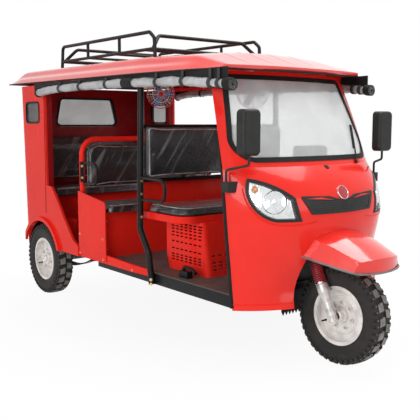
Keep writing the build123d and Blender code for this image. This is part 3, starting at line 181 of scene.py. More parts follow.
def paintNode(tree, place, v):
    # colour drifts between the finish's two tones
    share = rangeNode(tree, noiseNode(tree, place, v["patch"], 5.0, 0.4), 0.42, 0.74)
    paint = blendNode(tree, (*v["colour"], 1), v["shade"], share)
    if "glintStreaks" in v:
        # painted highlights: bright streaking that stands in for light glinting on the creased film over the cover
        glintTone, size, start = v["glintStreaks"]
        pull = newNode(tree, "Mapping", {"Vector": place, "Rotation": (0.1, 0.60, 0.1), "Scale": (0.36, 0.9, 2.6)},
                       vector_type="TEXTURE").outputs["Vector"]
        lines = noiseNode(tree, pull, size, 4.0, 0.5)
        paint = blendNode(tree, paint, glintTone, rangeNode(tree, lines, start - 0.10, start + 0.05, high=0.85))
    if "sheen" in v:
        # painted sheen: faces that look up are made lighter, as light from above falls on them
        normal = tree.nodes.new("ShaderNodeNewGeometry").outputs["Normal"]
        upward = newNode(tree, "SeparateXYZ", {"Vector": normal}).outputs["Z"]
        paint = blendNode(tree, paint, v["sheen"], rangeNode(tree, upward, 0.75, 1.0, high=0.85))
    if "inner" in v:
        # painted shade: the inside of the cabin is darkened to stand in for the shade there
        shadeTone, (half, rear, lean) = v["inner"]
        axes = newNode(tree, "SeparateXYZ", {"Vector": place}).outputs
        acrossMask = mathNode(tree, "LESS_THAN", mathNode(tree, "ABSOLUTE", axes["X"]), half)
        alongMask = mathNode(tree, "LESS_THAN", mathNode(tree, "MULTIPLY_ADD", axes["Z"], -lean, axes["Y"]), rear)
        paint = blendNode(tree, paint, shadeTone, mathNode(tree, "MULTIPLY", acrossMask, alongMask))
    return paint


def reliefNode(tree, place, v):
    # fine grain, then any waves, ribs or creases on top of it
    normal = bumpNode(tree, noiseNode(tree, place, v["grain"], 2.0), v["bump"], 0.0006, None)
    if "wave" in v:
        normal = bumpNode(tree, noiseNode(tree, place, v["wave"], 1.0), v["waveBump"], 0.02, normal)
    if "ribs" in v:
        pitch, depth, axis = v["ribs"]
        ribs = newNode(tree, "TexWave", {"Vector": place, "Scale": pitch / 20, "Distortion": 0.3},
                       bands_direction=axis.upper())
        normal = bumpNode(tree, ribs.outputs["Fac"], depth, 0.0015, normal)
    if "crease" in v:
        size, depth = v["crease"]
        stretched = newNode(tree, "Mapping", {"Vector": place, "Scale": (1.0, 0.55, 1.6),
                                              "Rotation": (0.3, 0.2, 0.7)}).outputs["Vector"]
        folds = noiseNode(tree, stretched, size, 3.0, 2.2)
        normal = bumpNode(tree, mathNode(tree, "PINGPONG", folds, 0.09), depth, 0.05, normal)
    return normal


def makeFinish(name, v):
    material = bpy.data.materials.new(name)
    material.use_nodes = True
    tree = material.node_tree
    shader = tree.nodes["Principled BSDF"]
    for socket, key, usual in (("Metallic", "metal", 0.0), ("Specular IOR Level", "spec", 0.5),
                               ("Coat Weight", "coat", 0.0), ("Coat Roughness", "coatRough", 0.1)):
        shader.inputs[socket].default_value = v.get(key, usual)
    place = objectPlace(tree)
    tree.links.new(paintNode(tree, place, v), shader.inputs["Base Color"])
    smears = noiseNode(tree, place, v["roughScale"], 4.0, 0.8)
    tree.links.new(rangeNode(tree, smears, 0.3, 0.7, *v["rough"]), shader.inputs["Roughness"])
    tree.links.new(reliefNode(tree, place, v), shader.inputs["Normal"])
    return material


finishes = {name: makeFinish(name, v) for name, v in finishValues.items()}


glassValues = {
    "screenGlass": dict(colour=(0.94, 0.95, 0.95), haze=0.46, rough=0.05, milk=(0.70, 0.71, 0.71)),
    "cabinGlass": dict(colour=(0.64, 0.64, 0.63), haze=0.34, rough=0.10, milk=(0.26, 0.26, 0.26)),
    "lampGlass": dict(colour=(0.97, 0.98, 0.98), haze=0.05, rough=0.02, milk=(0.8, 0.8, 0.8)),
    # the mirror's face is nearly all light matt film: a painted reflection in place of the mirror's shine
    "mirrorFace": dict(colour=(0.80, 0.82, 0.84), haze=1.0, rough=0.03, milk=(0.8, 0.82, 0.84)),
}


def makeGlass(name, v):
    # clear sheet with a film of dust, thicker in patches; on the mirror the film is a painted reflection
    material = bpy.data.materials.new(name)
    material.use_nodes = True
    tree = material.node_tree
    clear = tree.nodes["Principled BSDF"]
    place = objectPlace(tree)
    clear.inputs["Transmission Weight"].default_value = 1.0
    clear.inputs["IOR"].default_value = 1.05
    clear.inputs["Base Color"].default_value = (*v["colour"], 1)
    dust = noiseNode(tree, place, 4.0, 5.0, 0.6)
    tones = blendNode(tree, (*v["milk"], 1), [c * 0.85 for c in v["milk"]], dust)
    film = newNode(tree, "BsdfPrincipled", {"Base Color": tones, "Roughness": 0.35, "Coat Weight": 0.5})
    smears = noiseNode(tree, place, 11.0, 4.0, 1.0)
    gloss = rangeNode(tree, smears, 0.0, 1.0, v["rough"] * 0.6, v["rough"] * 1.5)
    tree.links.new(gloss, clear.inputs["Roughness"])
    ripple = bumpNode(tree, noiseNode(tree, place, 5.0, 1.0), 0.05, 0.004, None)
    tree.links.new(ripple, clear.inputs["Normal"])
    share = rangeNode(tree, dust, 0.3, 0.7, v["haze"] * 0.8, min(1.0, v["haze"] * 1.2))
    joinShaders(tree, share, clear.outputs["BSDF"], film.outputs["BSDF"], "Material Output")
    return material


finishes.update({name: makeGlass(name, v) for name, v in glassValues.items()})
print("finishes made:", len(finishes))

slotFinish = {
    "red_paint": "redEnamel", "black_steel": "blackEnamel", "fork_steel": "forkSilver",
    "silver_rim": "silverEnamel", "cast_iron": "castIron", "floor_mat": "floorMat",
    "black_rubber": "softRubber", "tyre_rubber": "tyreRubber", "black_plastic": "mattPlastic",
    "blue_plastic": "bluePlastic", "lamp_lens": "lampGlass", "red_lens": "redLens",
    "hazy_glass": "screenGlass", "black_vinyl": "wrappedVinyl", "silver_sheet": "coatedSheet",
    "white_wire": "whiteWire", "red_gloss_plastic": "redPlastic",
}
# these nodes have a finish of their own
nodeFinish = {
    "cabin_windows": "cabinGlass", "roof": "roofEnamel", "front_fender": "fenderEnamel",
    "front_cowl": "noseEnamel", "rear_body": "cabinShadedEnamel",
}
for part in frame["record"]["subparts"]:
    node = cadNodes[part["node"]]
    finish = finishes[nodeFinish.get(part["node"], slotFinish[part["material_slot"]])]
    node.data.materials.clear()
    node.data.materials.append(finish)
print("finishes set on the frame")


# ---- making pieces ----
def sided(name, side):
    return name + ("Left" if side > 0 else "Right")


def titled(name, body):
    return name + body.title().replace("_", "")


def newVerts(grown):
    return [g for g in grown["geom"] if isinstance(g, bmesh.types.BMVert)]


def boxEdges(verts):
    return list({e for p in verts for e in p.link_edges})


def roundEdges(bm, edges, offset, segments):
    bmesh.ops.bevel(bm, geom=edges, offset=offset, offset_type="OFFSET", segments=segments, profile=0.5,
                    affect="EDGES", material=-1)


def flipAcross(bm, verts):
    bmesh.ops.scale(bm, vec=(-1, 1, 1), verts=verts)


def finishPiece(name, bm, finish, body, smooth=35):
    # merges doubles, turns faces outward and puts the mesh on its body
    bmesh.ops.remove_doubles(bm, verts=bm.verts, dist=0.00002)
    bmesh.ops.recalc_face_normals(bm, faces=bm.faces)
    mesh = bpy.data.meshes.new(name)
    bm.to_mesh(mesh)
    bm.free()
    piece = bpy.data.objects.new(name, mesh)
    bpy.context.scene.collection.objects.link(piece)
    mesh.materials.append(finishes[finish])
    mesh.polygons.foreach_set("use_smooth", [True] * len(mesh.polygons))
    mesh.set_sharp_from_angle(angle=math.radians(smooth))
    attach(piece, body)
    return piece


def addRing(bm, centre, across, upward, section):
    verts = [bm.verts.new(centre + across * u + upward * v) for u, v in section]
    edges = [bm.edges.new((verts[k], verts[(k + 1) % len(verts)])) for k in range(len(verts))]
    return verts, edges


def bridgeRings(bm, rings, closed=False):
    pairs = list(zip(rings, rings[1:])) + ([(rings[-1], rings[0])] if closed else [])
    for first, second in pairs:
        bmesh.ops.bridge_loops(bm, edges=first[1] + second[1])
    if not closed:
        bmesh.ops.contextual_create(bm, geom=rings[0][1])
        bmesh.ops.contextual_create(bm, geom=rings[-1][1])


def roundedSection(halfAcross, halfUp, radius, steps=3):
    points = []
    for k, (sx, sy) in enumerate(((1, 1), (-1, 1), (-1, -1), (1, -1))):
        for j in range(steps + 1):
            turn = math.pi / 2 * (k + j / steps)
            points.append((sx * (halfAcross - radius) + radius * math.cos(turn),
                           sy * (halfUp - radius) + radius * math.sin(turn)))
    return points


def roundSection(radius, sides=10):
    turns = [math.tau * k / sides for k in range(sides)]
    return [(radius * math.cos(turn), radius * math.sin(turn)) for turn in turns]


def smoothPath(points, count, closed=False):
    # a curve through the points, sampled evenly
    curve = bpy.data.curves.new("route", "CURVE")
    curve.dimensions = "3D"
    spline = curve.splines.new("POLY" if len(points) < 3 else "NURBS")
    spline.points.add(len(points) - 1)
    for knot, point in zip(spline.points, points):
        knot.co = (*point, 1)
    if len(points) >= 3:
        spline.order_u = 3
        spline.use_endpoint_u = not closed
    spline.use_cyclic_u = closed
    curve.resolution_u = 12
    holder = bpy.data.objects.new("route", curve)
    mesh = bpy.data.meshes.new_from_object(holder)
    found = [v.co.copy() for v in mesh.vertices]
    bpy.data.objects.remove(holder)
    bpy.data.curves.remove(curve)
    bpy.data.meshes.remove(mesh)
    if closed:
        found.append(found[0])
    lengths = [0.0]
    for a, b in zip(found, found[1:]):
        lengths.append(lengths[-1] + (b - a).length)
    even, k = [], 0
    total = count if closed else count - 1
    for j in range(count):
        goal = lengths[-1] * j / total
        while k < len(lengths) - 2 and lengths[k + 1] < goal:
            k += 1
        step = max(lengths[k + 1] - lengths[k], 1e-9)
        even.append(found[k].lerp(found[k + 1], (goal - lengths[k]) / step))
    return even


def sweepRings(bm, path, section, upward, closed=False, scale=None):
    rings = []
    for k, point in enumerate(path):
        ahead = path[(k + 1) % len(path)] if closed or k < len(path) - 1 else point
        behind = path[k - 1] if closed or k > 0 else point
        along = (ahead - behind).normalized()
        across = along.cross(upward).normalized()
        up = across.cross(along).normalized()
        size = scale[k] if scale else 1.0
        rings.append(addRing(bm, point, across, up, [(u * size, v * size) for u, v in section]))
    bridgeRings(bm, rings, closed)


def mirrored(bm):
    # the same again on the other side of the vehicle
    flipAcross(bm, newVerts(bmesh.ops.duplicate(bm, geom=bm.verts[:] + bm.edges[:] + bm.faces[:])))


def turnedDisc(bm, centre, axis, profile, steps=32):
    # spins a (radius, along) profile round an axis through centre
    axis = axis.normalized()
    side = axis.orthogonal().normalized()
    verts = [bm.verts.new(centre + side * r + axis * d) for r, d in profile]
    edges = [bm.edges.new((a, b)) for a, b in zip(verts, verts[1:])]
    bmesh.ops.spin(bm, geom=verts + edges, cent=centre, axis=axis, angle=math.tau, steps=steps, use_merge=True)
    bmesh.ops.remove_doubles(bm, verts=bm.verts, dist=0.00001)


# ---- camera, floor and light ----
cameraValues = dict(place=(-2.978, -3.9165, 1.352), pitch=-7.054, yaw=38.487, lens=59.53)
cameraData = bpy.data.cameras.new("viewCamera")
cameraData.lens = cameraValues["lens"]
cameraData.clip_end = 200
camera = bpy.data.objects.new("viewCamera", cameraData)
camera.location = cameraValues["place"]
camera.rotation_euler = (math.radians(90 + cameraValues["pitch"]), 0, math.radians(-cameraValues["yaw"]))
bpy.context.scene.collection.objects.link(camera)
bpy.context.scene.camera = camera
bpy.context.scene.view_settings.view_transform = "Standard"

skyValues = dict(fill=0.40, tint=(1.0, 0.995, 0.985))


def makeSky():
    world = bpy.data.worlds.new("studio")
    bpy.context.scene.world = world
    world.use_nodes = True
    tree = world.node_tree
    soft = tree.nodes["Background"]
    soft.inputs["Color"].default_value = (*skyValues["tint"], 1)
    soft.inputs["Strength"].default_value = skyValues["fill"]
    white = newNode(tree, "Background", {"Color": (1, 1, 1, 1), "Strength": 1.0})
    rays = tree.nodes.new("ShaderNodeLightPath").outputs
    direct = mathNode(tree, "MAXIMUM", rays["Is Camera Ray"], rays["Is Glossy Ray"])
    seen = mathNode(tree, "MAXIMUM", direct, rays["Is Transmission Ray"])
    joinShaders(tree, seen, soft.outputs["Background"], white.outputs["Background"], "World Output")


floorValues = dict(size=60.0, colour=(0.97, 0.97, 0.97), near=0.3, far=2.7, least=0.90)


def makeFloor():
    bm = bmesh.new()
    bmesh.ops.create_grid(bm, x_segments=2, y_segments=2, size=floorValues["size"])
    mesh = bpy.data.meshes.new("studioFloor")
    bm.to_mesh(mesh)
    bm.free()
    ground = bpy.data.objects.new("studioFloor", mesh)
    bpy.context.scene.collection.objects.link(ground)
    material = bpy.data.materials.new("studioFloor")
    material.use_nodes = True
    tree = material.node_tree
    matt = tree.nodes["Principled BSDF"]
    matt.inputs["Base Color"].default_value = (*floorValues["colour"], 1)
    matt.inputs["Roughness"].default_value = 0.9
    matt.inputs["Specular IOR Level"].default_value = 0.0
    # past the object's shadow the floor turns into the white backdrop
    reach = newNode(tree, "VectorMath", {0: objectPlace(tree)}, operation="LENGTH").outputs["Value"]
    fade = rangeNode(tree, reach, floorValues["near"], floorValues["far"], floorValues["least"],
                     interpolation_type="SMOOTHSTEP")
    rays = tree.nodes.new("ShaderNodeLightPath").outputs
    seen = mathNode(tree, "MAXIMUM", rays["Is Camera Ray"], rays["Is Glossy Ray"])
    glow = newNode(tree, "Emission", {"Strength": 1.0})
    joinShaders(tree, mathNode(tree, "MULTIPLY", fade, seen), matt.outputs["BSDF"], glow.outputs["Emission"],
                "Material Output")
    mesh.materials.append(material)


lampValues = {
    "overheadBox": dict(place=(0.9, -0.9, 4.5), aim=(0, -0.6, 0.9), size=(3.2, 3.0), power=150),
    "sideBox": dict(place=(-5.4, -2.2, 2.6), aim=(0, 0, 0.9), size=(2.6, 2.6), power=135),
    "frontBox": dict(place=(1.6, -6.2, 2.4), aim=(0, -0.6, 0.8), size=(3.0, 2.2), power=50),
}


def makeLamps():
    for name, v in lampValues.items():
        lamp = bpy.data.lights.new(name, "AREA")
        lamp.shape = "RECTANGLE"
        lamp.size, lamp.size_y = v["size"]
        lamp.energy = v["power"]
        holder = bpy.data.objects.new(name, lamp)
        holder.location = v["place"]
        aim = Vector(v["aim"]) - Vector(v["place"])
        holder.rotation_euler = aim.to_track_quat("-Z", "Y").to_euler()
        bpy.context.scene.collection.objects.link(holder)


makeSky()
makeFloor()
makeLamps()
print("camera, floor and lamps set")


# ---- cushions and backrests ----
padUsual = dict(voxel=0.0105, pressure=4.0, fill=0.7, seamDown=0.010)
cushionUsual = dict(padUsual, cap=0.012, shrink=(0.010, 0.010, 0.006), held=0.010, seamAxis="z")
backrestUsual = dict(padUsual, cap=0.010, held=0.0, seamAxis="y")
padValues = {
    "driver_cushion": cushionUsual,
    "driver_backrest": dict(backrestUsual, shrink=(-0.024, 0.004, -0.004), lift=0.007),
    "middle_cushion": cushionUsual,
    "middle_backrest": dict(backrestUsual, shrink=(0.006, 0.006, 0.006), seamDown=0.008),
    "rear_cushion": cushionUsual,
    "rear_backrest": dict(backrestUsual, shrink=(0.010, 0.006, 0.008)),
}
puffFrames = 20
pipingValues = dict(radius=0.0042, sides=6, clear=0.03, corner=0.06, points=150, reach=0.3)


def settledMesh(piece):
    graph = bpy.context.evaluated_depsgraph_get()
    return bpy.data.meshes.new_from_object(piece.evaluated_get(graph))


def swapMesh(piece, mesh):
    old = piece.data
    piece.modifiers.clear()
    piece.data = mesh
    bpy.data.meshes.remove(old)


def thicken(piece, thickness, offset):
    wall = piece.modifiers.new("wall", "SOLIDIFY")
    wall.thickness = thickness
    wall.offset = offset
    swapMesh(piece, settledMesh(piece))


def makePad(node, v):
    bm = bmesh.new()
    bm.from_mesh(cadNodes[node].data)
    bmesh.ops.remove_doubles(bm, verts=bm.verts, dist=0.0001)
    bmesh.ops.recalc_face_normals(bm, faces=bm.faces)
    low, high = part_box(node)
    size, middle = high - low, (high + low) / 2
    anchor = middle.copy()
    if v["held"]:
        anchor.z = low.z
    factor = [1 - 2 * s / d for s, d in zip(v["shrink"], size)]
    bmesh.ops.translate(bm, vec=-anchor, verts=bm.verts)
    bmesh.ops.scale(bm, vec=factor, verts=bm.verts)
    bmesh.ops.translate(bm, vec=anchor + Vector((0, 0, v.get("lift", 0))), verts=bm.verts)
    name = node.replace("_", "") + "Pad"
    mesh = bpy.data.meshes.new(name)
    bm.to_mesh(mesh)
    bm.free()
    pad = bpy.data.objects.new(name, mesh)
    bpy.context.scene.collection.objects.link(pad)
    remesh = pad.modifiers.new("even", "REMESH")
    remesh.mode = "VOXEL"
    remesh.voxel_size = v["voxel"]
    swapMesh(pad, settledMesh(pad))
    start = [p.co.copy() for p in pad.data.vertices]
    seat = pad.vertex_groups.new(name="held")
    seat.add([p.index for p in pad.data.vertices if p.co.z < low.z + v["held"]], 1.0, "REPLACE")
    cloth = pad.modifiers.new("puff", "CLOTH")
    cloth.settings.quality = 4
    cloth.settings.use_pressure = True
    cloth.settings.uniform_pressure_force = v["pressure"]
    cloth.settings.effector_weights.gravity = 0
    if v["held"]:
        cloth.settings.vertex_group_mass = "held"
    cloth.point_cache.frame_end = puffFrames
    for step in range(1, puffFrames + 1):
        bpy.context.scene.frame_set(step)
    swapMesh(pad, settledMesh(pad))
    bpy.context.scene.frame_set(1)
    for vertex, first in zip(pad.data.vertices, start):
        moved = vertex.co - first
        if moved.length > v["cap"]:
            vertex.co = first + moved * (v["cap"] / moved.length)
    divide = pad.modifiers.new("round", "SUBSURF")
    divide.levels = divide.render_levels = 1
    swapMesh(pad, settledMesh(pad))
    pad.data.materials.clear()
    pad.data.materials.append(finishes["wrappedVinyl"])
    pad.data.polygons.foreach_set("use_smooth", [True] * len(pad.data.polygons))
    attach(pad, "chassis")
    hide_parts(node)
    makePiping(pad, name, v)


def roundedOutline(halfAcross, halfUp, radius, count):
    # points and outward directions round a rounded rectangle
    straight = [2 * (halfAcross - radius), 2 * (halfUp - radius)]
    total = 2 * sum(straight) + math.tau * radius
    found = []
    for k in range(count):
        s = total * k / count
        for side in range(4):
            run, turn = straight[side % 2], side * math.pi / 2
            corner = Matrix.Rotation(turn, 2)
            lengthwise = straight[side % 2] / 2
            reach = halfUp if side % 2 == 0 else halfAcross
            if s <= run:
                found.append((corner @ Vector((lengthwise - s, reach)), corner @ Vector((0, 1))))
                break
            s -= run
            if s <= math.pi / 2 * radius:
                angle = s / radius
                out = Vector((-math.sin(angle), math.cos(angle)))
                centre = Vector((-lengthwise, reach - radius))
                found.append((corner @ (centre + out * radius), corner @ out))
                break
            s -= math.pi / 2 * radius
    return found


def makePiping(pad, name, v):
    # a welt laid round the pad where its top or face panel meets the sides; its light grey is a painted highlight
    # on the film's edge
    corners = [p.co for p in pad.data.vertices]
    tree = BVHTree.FromPolygons(corners, [tuple(p.vertices) for p in pad.data.polygons])
    welt = pipingValues
    low = Vector([min(c[k] for c in corners) for k in range(3)])
    high = Vector([max(c[k] for c in corners) for k in range(3)])
    middle = (low + high) / 2
    up = v["seamAxis"] == "z"
    halfUp = (high.y - low.y) / 2 if up else (high.z - low.z) / 2
    level = high.z - v["seamDown"] if up else low.y + v["seamDown"]
    points = []
    halfAcross = (high.x - low.x) / 2 + welt["clear"]
    for spot, out in roundedOutline(halfAcross, halfUp + welt["clear"], welt["corner"], welt["points"]):
        if up:
            begin = Vector((middle.x + spot.x, middle.y + spot.y, level))
            heading = Vector((-out.x, -out.y, 0))
        else:
            begin = Vector((middle.x + spot.x, level, middle.z + spot.y))
            heading = Vector((-out.x, 0, -out.y))
        hit = tree.ray_cast(begin, heading, welt["reach"])[0]
        if hit:
            points.append(hit)
    bm = bmesh.new()
    facing = Vector((0, 0, 1)) if up else Vector((0, 1, 0))
    sweepRings(bm, points, roundSection(welt["radius"], welt["sides"]), facing, closed=True)
    finishPiece(name + "Piping", bm, "filmEdgeHighlight", "chassis")


for node, v in padValues.items():
    makePad(node, v)
    print("pad made:", node)


# ---- rolled weather sheets ----
rollValues = dict(path=((-572, 300, 1562), (-618, 690, 1594), (-641, 1290, 1608), (-641, 1930, 1611),
                        (-650, 2300, 1605), (-655, 2496, 1588)),
                  turns=5, inner=0.008, outer=0.0325, stations=150, around=16, crumple=0.0060, pinch=0.17, pull=38,
                  bands=(392, 455, 673, 920, 1481, 1842, 2135), bandWidth=0.024, bandWall=0.0016, strapTop=1.652,
                  strapWall=0.0022, sheetWall=0.0012, sleeves=((300, 352), (1155, 1273), (2480, 2496)))


def rollCentre(station):
    path = rollValues["path"]
    for near, far in zip(path, path[1:]):
        if station <= far[1] or far is path[-1]:
            share = (station - near[1]) / (far[1] - near[1])
            return at(*[near[k] + (far[k] - near[k]) * share for k in range(3)])


def rollSize(station):
    # the bands pull the roll in, and it swells between them
    squeeze = sum(math.exp(-((station - band) / rollValues["pull"]) ** 2) for band in rollValues["bands"])
    return 1 - rollValues["pinch"] * min(1, squeeze)


def makeRoll(side):
    v = rollValues
    start, end = v["path"][0][1], v["path"][-1][1]
    bm = bmesh.new()
    verts = edges = None
    steps = v["turns"] * v["around"]
    for k in range(v["stations"]):
        station = start + (end - start) * k / (v["stations"] - 1)
        centre, size = rollCentre(station), rollSize(station)
        ring = []
        for j in range(steps + 1):
            share = j / steps
            turn = math.tau * v["turns"] * share + 0.6 * noise.noise(Vector((station / 300, side, 0)))
            radius = (v["inner"] + (v["outer"] - v["inner"]) * share) * size
            u, w = math.cos(turn), math.sin(turn)
            crumple = noise.noise(Vector((u * 1.3, w * 1.3, station / 44 + side * 9)))
            crumple -= 0.8 * abs(noise.noise(Vector((u * 2.1 + 7, w * 2.1, station / 26 + turn))))
            radius += v["crumple"] * crumple * share - v["sheetWall"] * share
            sag = 1 - 0.06 * max(0, -w)
            ring.append(centre + Vector((radius * u, 0, radius * w * sag)))
        if verts is None:
            verts = [bm.verts.new(p) for p in ring]
            edges = [bm.edges.new((a, b)) for a, b in zip(verts, verts[1:])]
        else:
            grown = bmesh.ops.extrude_edge_only(bm, edges=edges)
            fresh, last = newVerts(grown), set(verts)
            edges = [g for g in grown["geom"] if isinstance(g, bmesh.types.BMEdge) and not last & set(g.verts)]
            # each new corner is found by the edge that joins it to the ring before
            linked = {}
            for new in fresh:
                old = next(e.other_vert(new) for e in new.link_edges if e.other_vert(new) in last)
                linked[old] = new
            verts = [linked[p] for p in verts]
            for vertex, point in zip(verts, ring):
                vertex.co = point
    if side > 0:
        flipAcross(bm, bm.verts)
    bmesh.ops.recalc_face_normals(bm, faces=bm.faces)
    area = sum(f.calc_area() for f in bm.faces)
    roll = finishPiece(sided("rolledSheet", side), bm, "coatedSheet", "chassis", smooth=70)
    thicken(roll, v["sheetWall"], 0)
    return roll


def makeRollFittings(side):
    v = rollValues
    bm = bmesh.new()
    for station in v["bands"]:
        centre, size = rollCentre(station), rollSize(station)
        radius = v["outer"] * size + 0.0022
        rings = []
        for shift in (-0.5, 0.5):
            spot = centre + Vector((0, shift * v["bandWidth"], 0))
            rings.append(addRing(bm, spot, Vector((1, 0, 0)), Vector((0, 0, 1)), roundSection(radius, 28)))
        bmesh.ops.bridge_loops(bm, edges=rings[0][1] + rings[1][1])
    webs = bm.faces[:]
    bmesh.ops.recalc_face_normals(bm, faces=webs)
    bmesh.ops.solidify(bm, geom=webs, thickness=-v["bandWall"])
    for station in v["bands"]:
        centre, top = rollCentre(station), v["strapTop"]
        strap = bmesh.ops.create_cube(bm, size=1.0)["verts"]
        bmesh.ops.scale(bm, vec=(v["strapWall"], v["bandWidth"], top - centre.z - 0.02), verts=strap)
        bmesh.ops.translate(bm, vec=(centre.x - 0.012, centre.y, (top + centre.z + 0.02) / 2), verts=strap)
    if side > 0:
        flipAcross(bm, bm.verts)
    finishPiece(sided("rollStraps", side), bm, "blackWebbing", "chassis")
    bm = bmesh.new()
    for near, far in v["sleeves"]:
        steps = max(2, int((far - near) / 12))
        rings = []
        for k in range(steps + 1):
            station = near + (far - near) * k / steps
            bulge = 0.0016 + 0.0012 * math.sin(math.pi * k / steps)
            rings.append(addRing(bm, rollCentre(station), Vector((1, 0, 0)), Vector((0, 0, 1)),
                                 roundSection(v["outer"] * rollSize(station) + bulge, 26)))
        for first, second in zip(rings, rings[1:]):
            bmesh.ops.bridge_loops(bm, edges=first[1] + second[1])
        if near == v["path"][0][1]:
            bmesh.ops.contextual_create(bm, geom=rings[0][1])
        if far == v["path"][-1][1]:
            bmesh.ops.contextual_create(bm, geom=rings[-1][1])
    if side > 0:
        flipAcross(bm, bm.verts)
    finishPiece(sided("rollSleeves", side), bm, "softRubber", "chassis")


for side in (-1, 1):
    roll = makeRoll(side)
    makeRollFittings(side)
    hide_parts("side_curtains")
print("rolled sheets made")

# ---- helpers for small fittings ----
cadTrees = {}


def surfaceTree(node):
    if node not in cadTrees:
        mesh = cadNodes[node].data
        corners = [p.co for p in mesh.vertices]
        cadTrees[node] = BVHTree.FromPolygons(corners, [tuple(p.vertices) for p in mesh.polygons])
    return cadTrees[node]


def touch(node, begin, heading, reach=2.0):
    # where a line from begin meets the node, with the surface direction turned back along the line
    spot, normal = surfaceTree(node).ray_cast(begin, heading.normalized(), reach)[:2]
    if spot is None:
        return None, None
    return spot, (normal if normal.dot(heading) < 0 else -normal)


def facingFrame(spot, normal):
    return Matrix.Translation(spot) @ normal.to_track_quat("Z", "Y").to_matrix().to_4x4()


def addCone(bm, place, foot, tip, depth, segments):
    bmesh.ops.create_cone(bm, cap_ends=True, segments=segments, radius1=foot, radius2=tip, depth=depth,
                          matrix=place)


def addBolt(bm, spot, normal, across, height):
    # a washer and a hexagon head
    place = facingFrame(spot, normal)
    addCone(bm, place @ Matrix.Translation((0, 0, height * 0.12)), across * 0.74, across * 0.70, height * 0.3, 16)
    addCone(bm, place @ Matrix.Translation((0, 0, height * 0.5)), across * 0.52, across * 0.48, height, 6)


def addPlate(bm, place, size, corner=0.004):
    # a rounded plate lying on its frame's XY plane
    outline = roundedSection(size[0] / 2, size[1] / 2, corner, 4)
    verts = [bm.verts.new(place @ Vector((u, v, 0))) for u, v in outline]
    face = bm.faces.new(verts)
    grown = bmesh.ops.extrude_face_region(bm, geom=[face])
    bmesh.ops.translate(bm, vec=place.to_3x3() @ Vector((0, 0, size[2])), verts=newVerts(grown))
    cap = [g for g in grown["geom"] if isinstance(g, bmesh.types.BMFace)]
    bmesh.ops.inset_region(bm, faces=cap, thickness=min(size[0], size[1]) * 0.06, depth=0.0)


# ---- headlight insides ----
headlightValues = dict(facing=50, centre=(445, 150, 921), u=(-182, 130), v=(-95, 150), cell=3.0,
                       bowl=(-32, 17, 59), bowlRise=23, small=(76, 84, 19), smallRise=11, shelf=14, floor=2.0,
                       bulb=(10.5, 23), amber=(7.5, 15), facets=24, facetDepth=0.35, lensGap=5)


def lampFrame(side):
    v = headlightValues
    turn = math.radians(v["facing"])
    outward = Vector((side * math.cos(turn), math.sin(turn), 0))
    ahead = Vector((side * math.sin(turn), -math.cos(turn), 0))
    return at(side * v["centre"][0], v["centre"][1], v["centre"][2]), outward, ahead


def lampSpot(side, u, w):
    # a point on the lamp's face plane, u outward and w up in millimetres
    origin, outward = lampFrame(side)[:2]
    return origin + outward * (u / 1000) + Vector((0, 0, w / 1000))


def mouldingHeight(u, w):
    # millimetres that the reflector moulding stands off the housing's floor
    v = headlightValues
    fromBowl = math.hypot(u - v["bowl"][0], w - v["bowl"][1]) / v["bowl"][2]
    fromSmall = math.hypot(u - v["small"][0], w - v["small"][1]) / v["small"][2]
    if fromBowl < 1:
        turn = math.atan2(w - v["bowl"][1], u - v["bowl"][0])
        facets = v["facetDepth"] * math.cos(v["facets"] * turn) * fromBowl
        return v["floor"] + v["bowlRise"] * fromBowl ** 2 + facets
    shelf = v["shelf"] + 0.9 * math.sin(u * 0.55) * min(1, max(0, (u - 25) / 20)) + 0.02 * (w + 60)
    edge = max(0, 1 - (fromBowl - 1) / 0.05)
    shelf += (v["bowlRise"] - v["shelf"]) * edge
    if fromSmall < 1:
        return min(shelf, v["floor"] + 1 + v["smallRise"] * fromSmall ** 2)
    return shelf


def makeReflector(side):
    v = headlightValues
    ahead = lampFrame(side)[2]
    spanU, spanV = v["u"][1] - v["u"][0], v["v"][1] - v["v"][0]
    across, upward = round(spanU / v["cell"]), round(spanV / v["cell"])
    bm = bmesh.new()
    bmesh.ops.create_grid(bm, x_segments=across, y_segments=upward, size=0.5)
    lost = []
    for vertex in bm.verts:
        u = v["u"][0] + spanU * (vertex.co.x + 0.5)
        w = v["v"][0] + spanV * (vertex.co.y + 0.5)
        begin = lampSpot(side, u, w) + ahead * 0.3
        lens = touch("headlight_lenses", begin, -ahead)[0]
        back = touch("headlights", begin, -ahead)[0]
        if lens is None or back is None:
            lost.append(vertex)
        else:
            room = (lens - back).length * 1000 - v["lensGap"]
            vertex.co = back + ahead * (min(room, mouldingHeight(u, w)) / 1000)
    bmesh.ops.delete(bm, geom=lost, context="VERTS")
    finishPiece(sided("reflector", side), bm, "chromePlate", "chassis", smooth=50)


def makeBulbs(side):
    v = headlightValues
    ahead = lampFrame(side)[2]
    for key, dish, finish, slot in (("bulb", "bowl", "chromePlate", "silver_rim"),
                                    ("amber", "small", "amberGlass", "lamp_lens")):
        back = touch("headlights", lampSpot(side, *v[dish][:2]) + ahead * 0.3, -ahead)[0]
        r, d = (size / 1000 for size in v[key])
        bm = bmesh.new()
        profile = [(0, d), (r * 0.45, d * 0.98), (r * 0.8, d * 0.88), (r, d * 0.68), (r, d * 0.2),
                   (r * 1.5, d * 0.12), (r * 1.5, 0.0), (0, 0.0)]
        turnedDisc(bm, back, ahead, profile, 24)
        finishPiece(sided(key, side), bm, finish, "chassis")


for side in (-1, 1):
    makeReflector(side)
    makeBulbs(side)
print("headlight insides made")


# ---- badge, washer nozzle and trim on the nose ----
noseValues = dict(badge=(0, -200, 972), badgeRadius=0.041, nozzle=(-4, 60, 1110), nozzleSize=(0.030, 0.024, 0.014),
                  sunk=0.003, jet=0.0045)


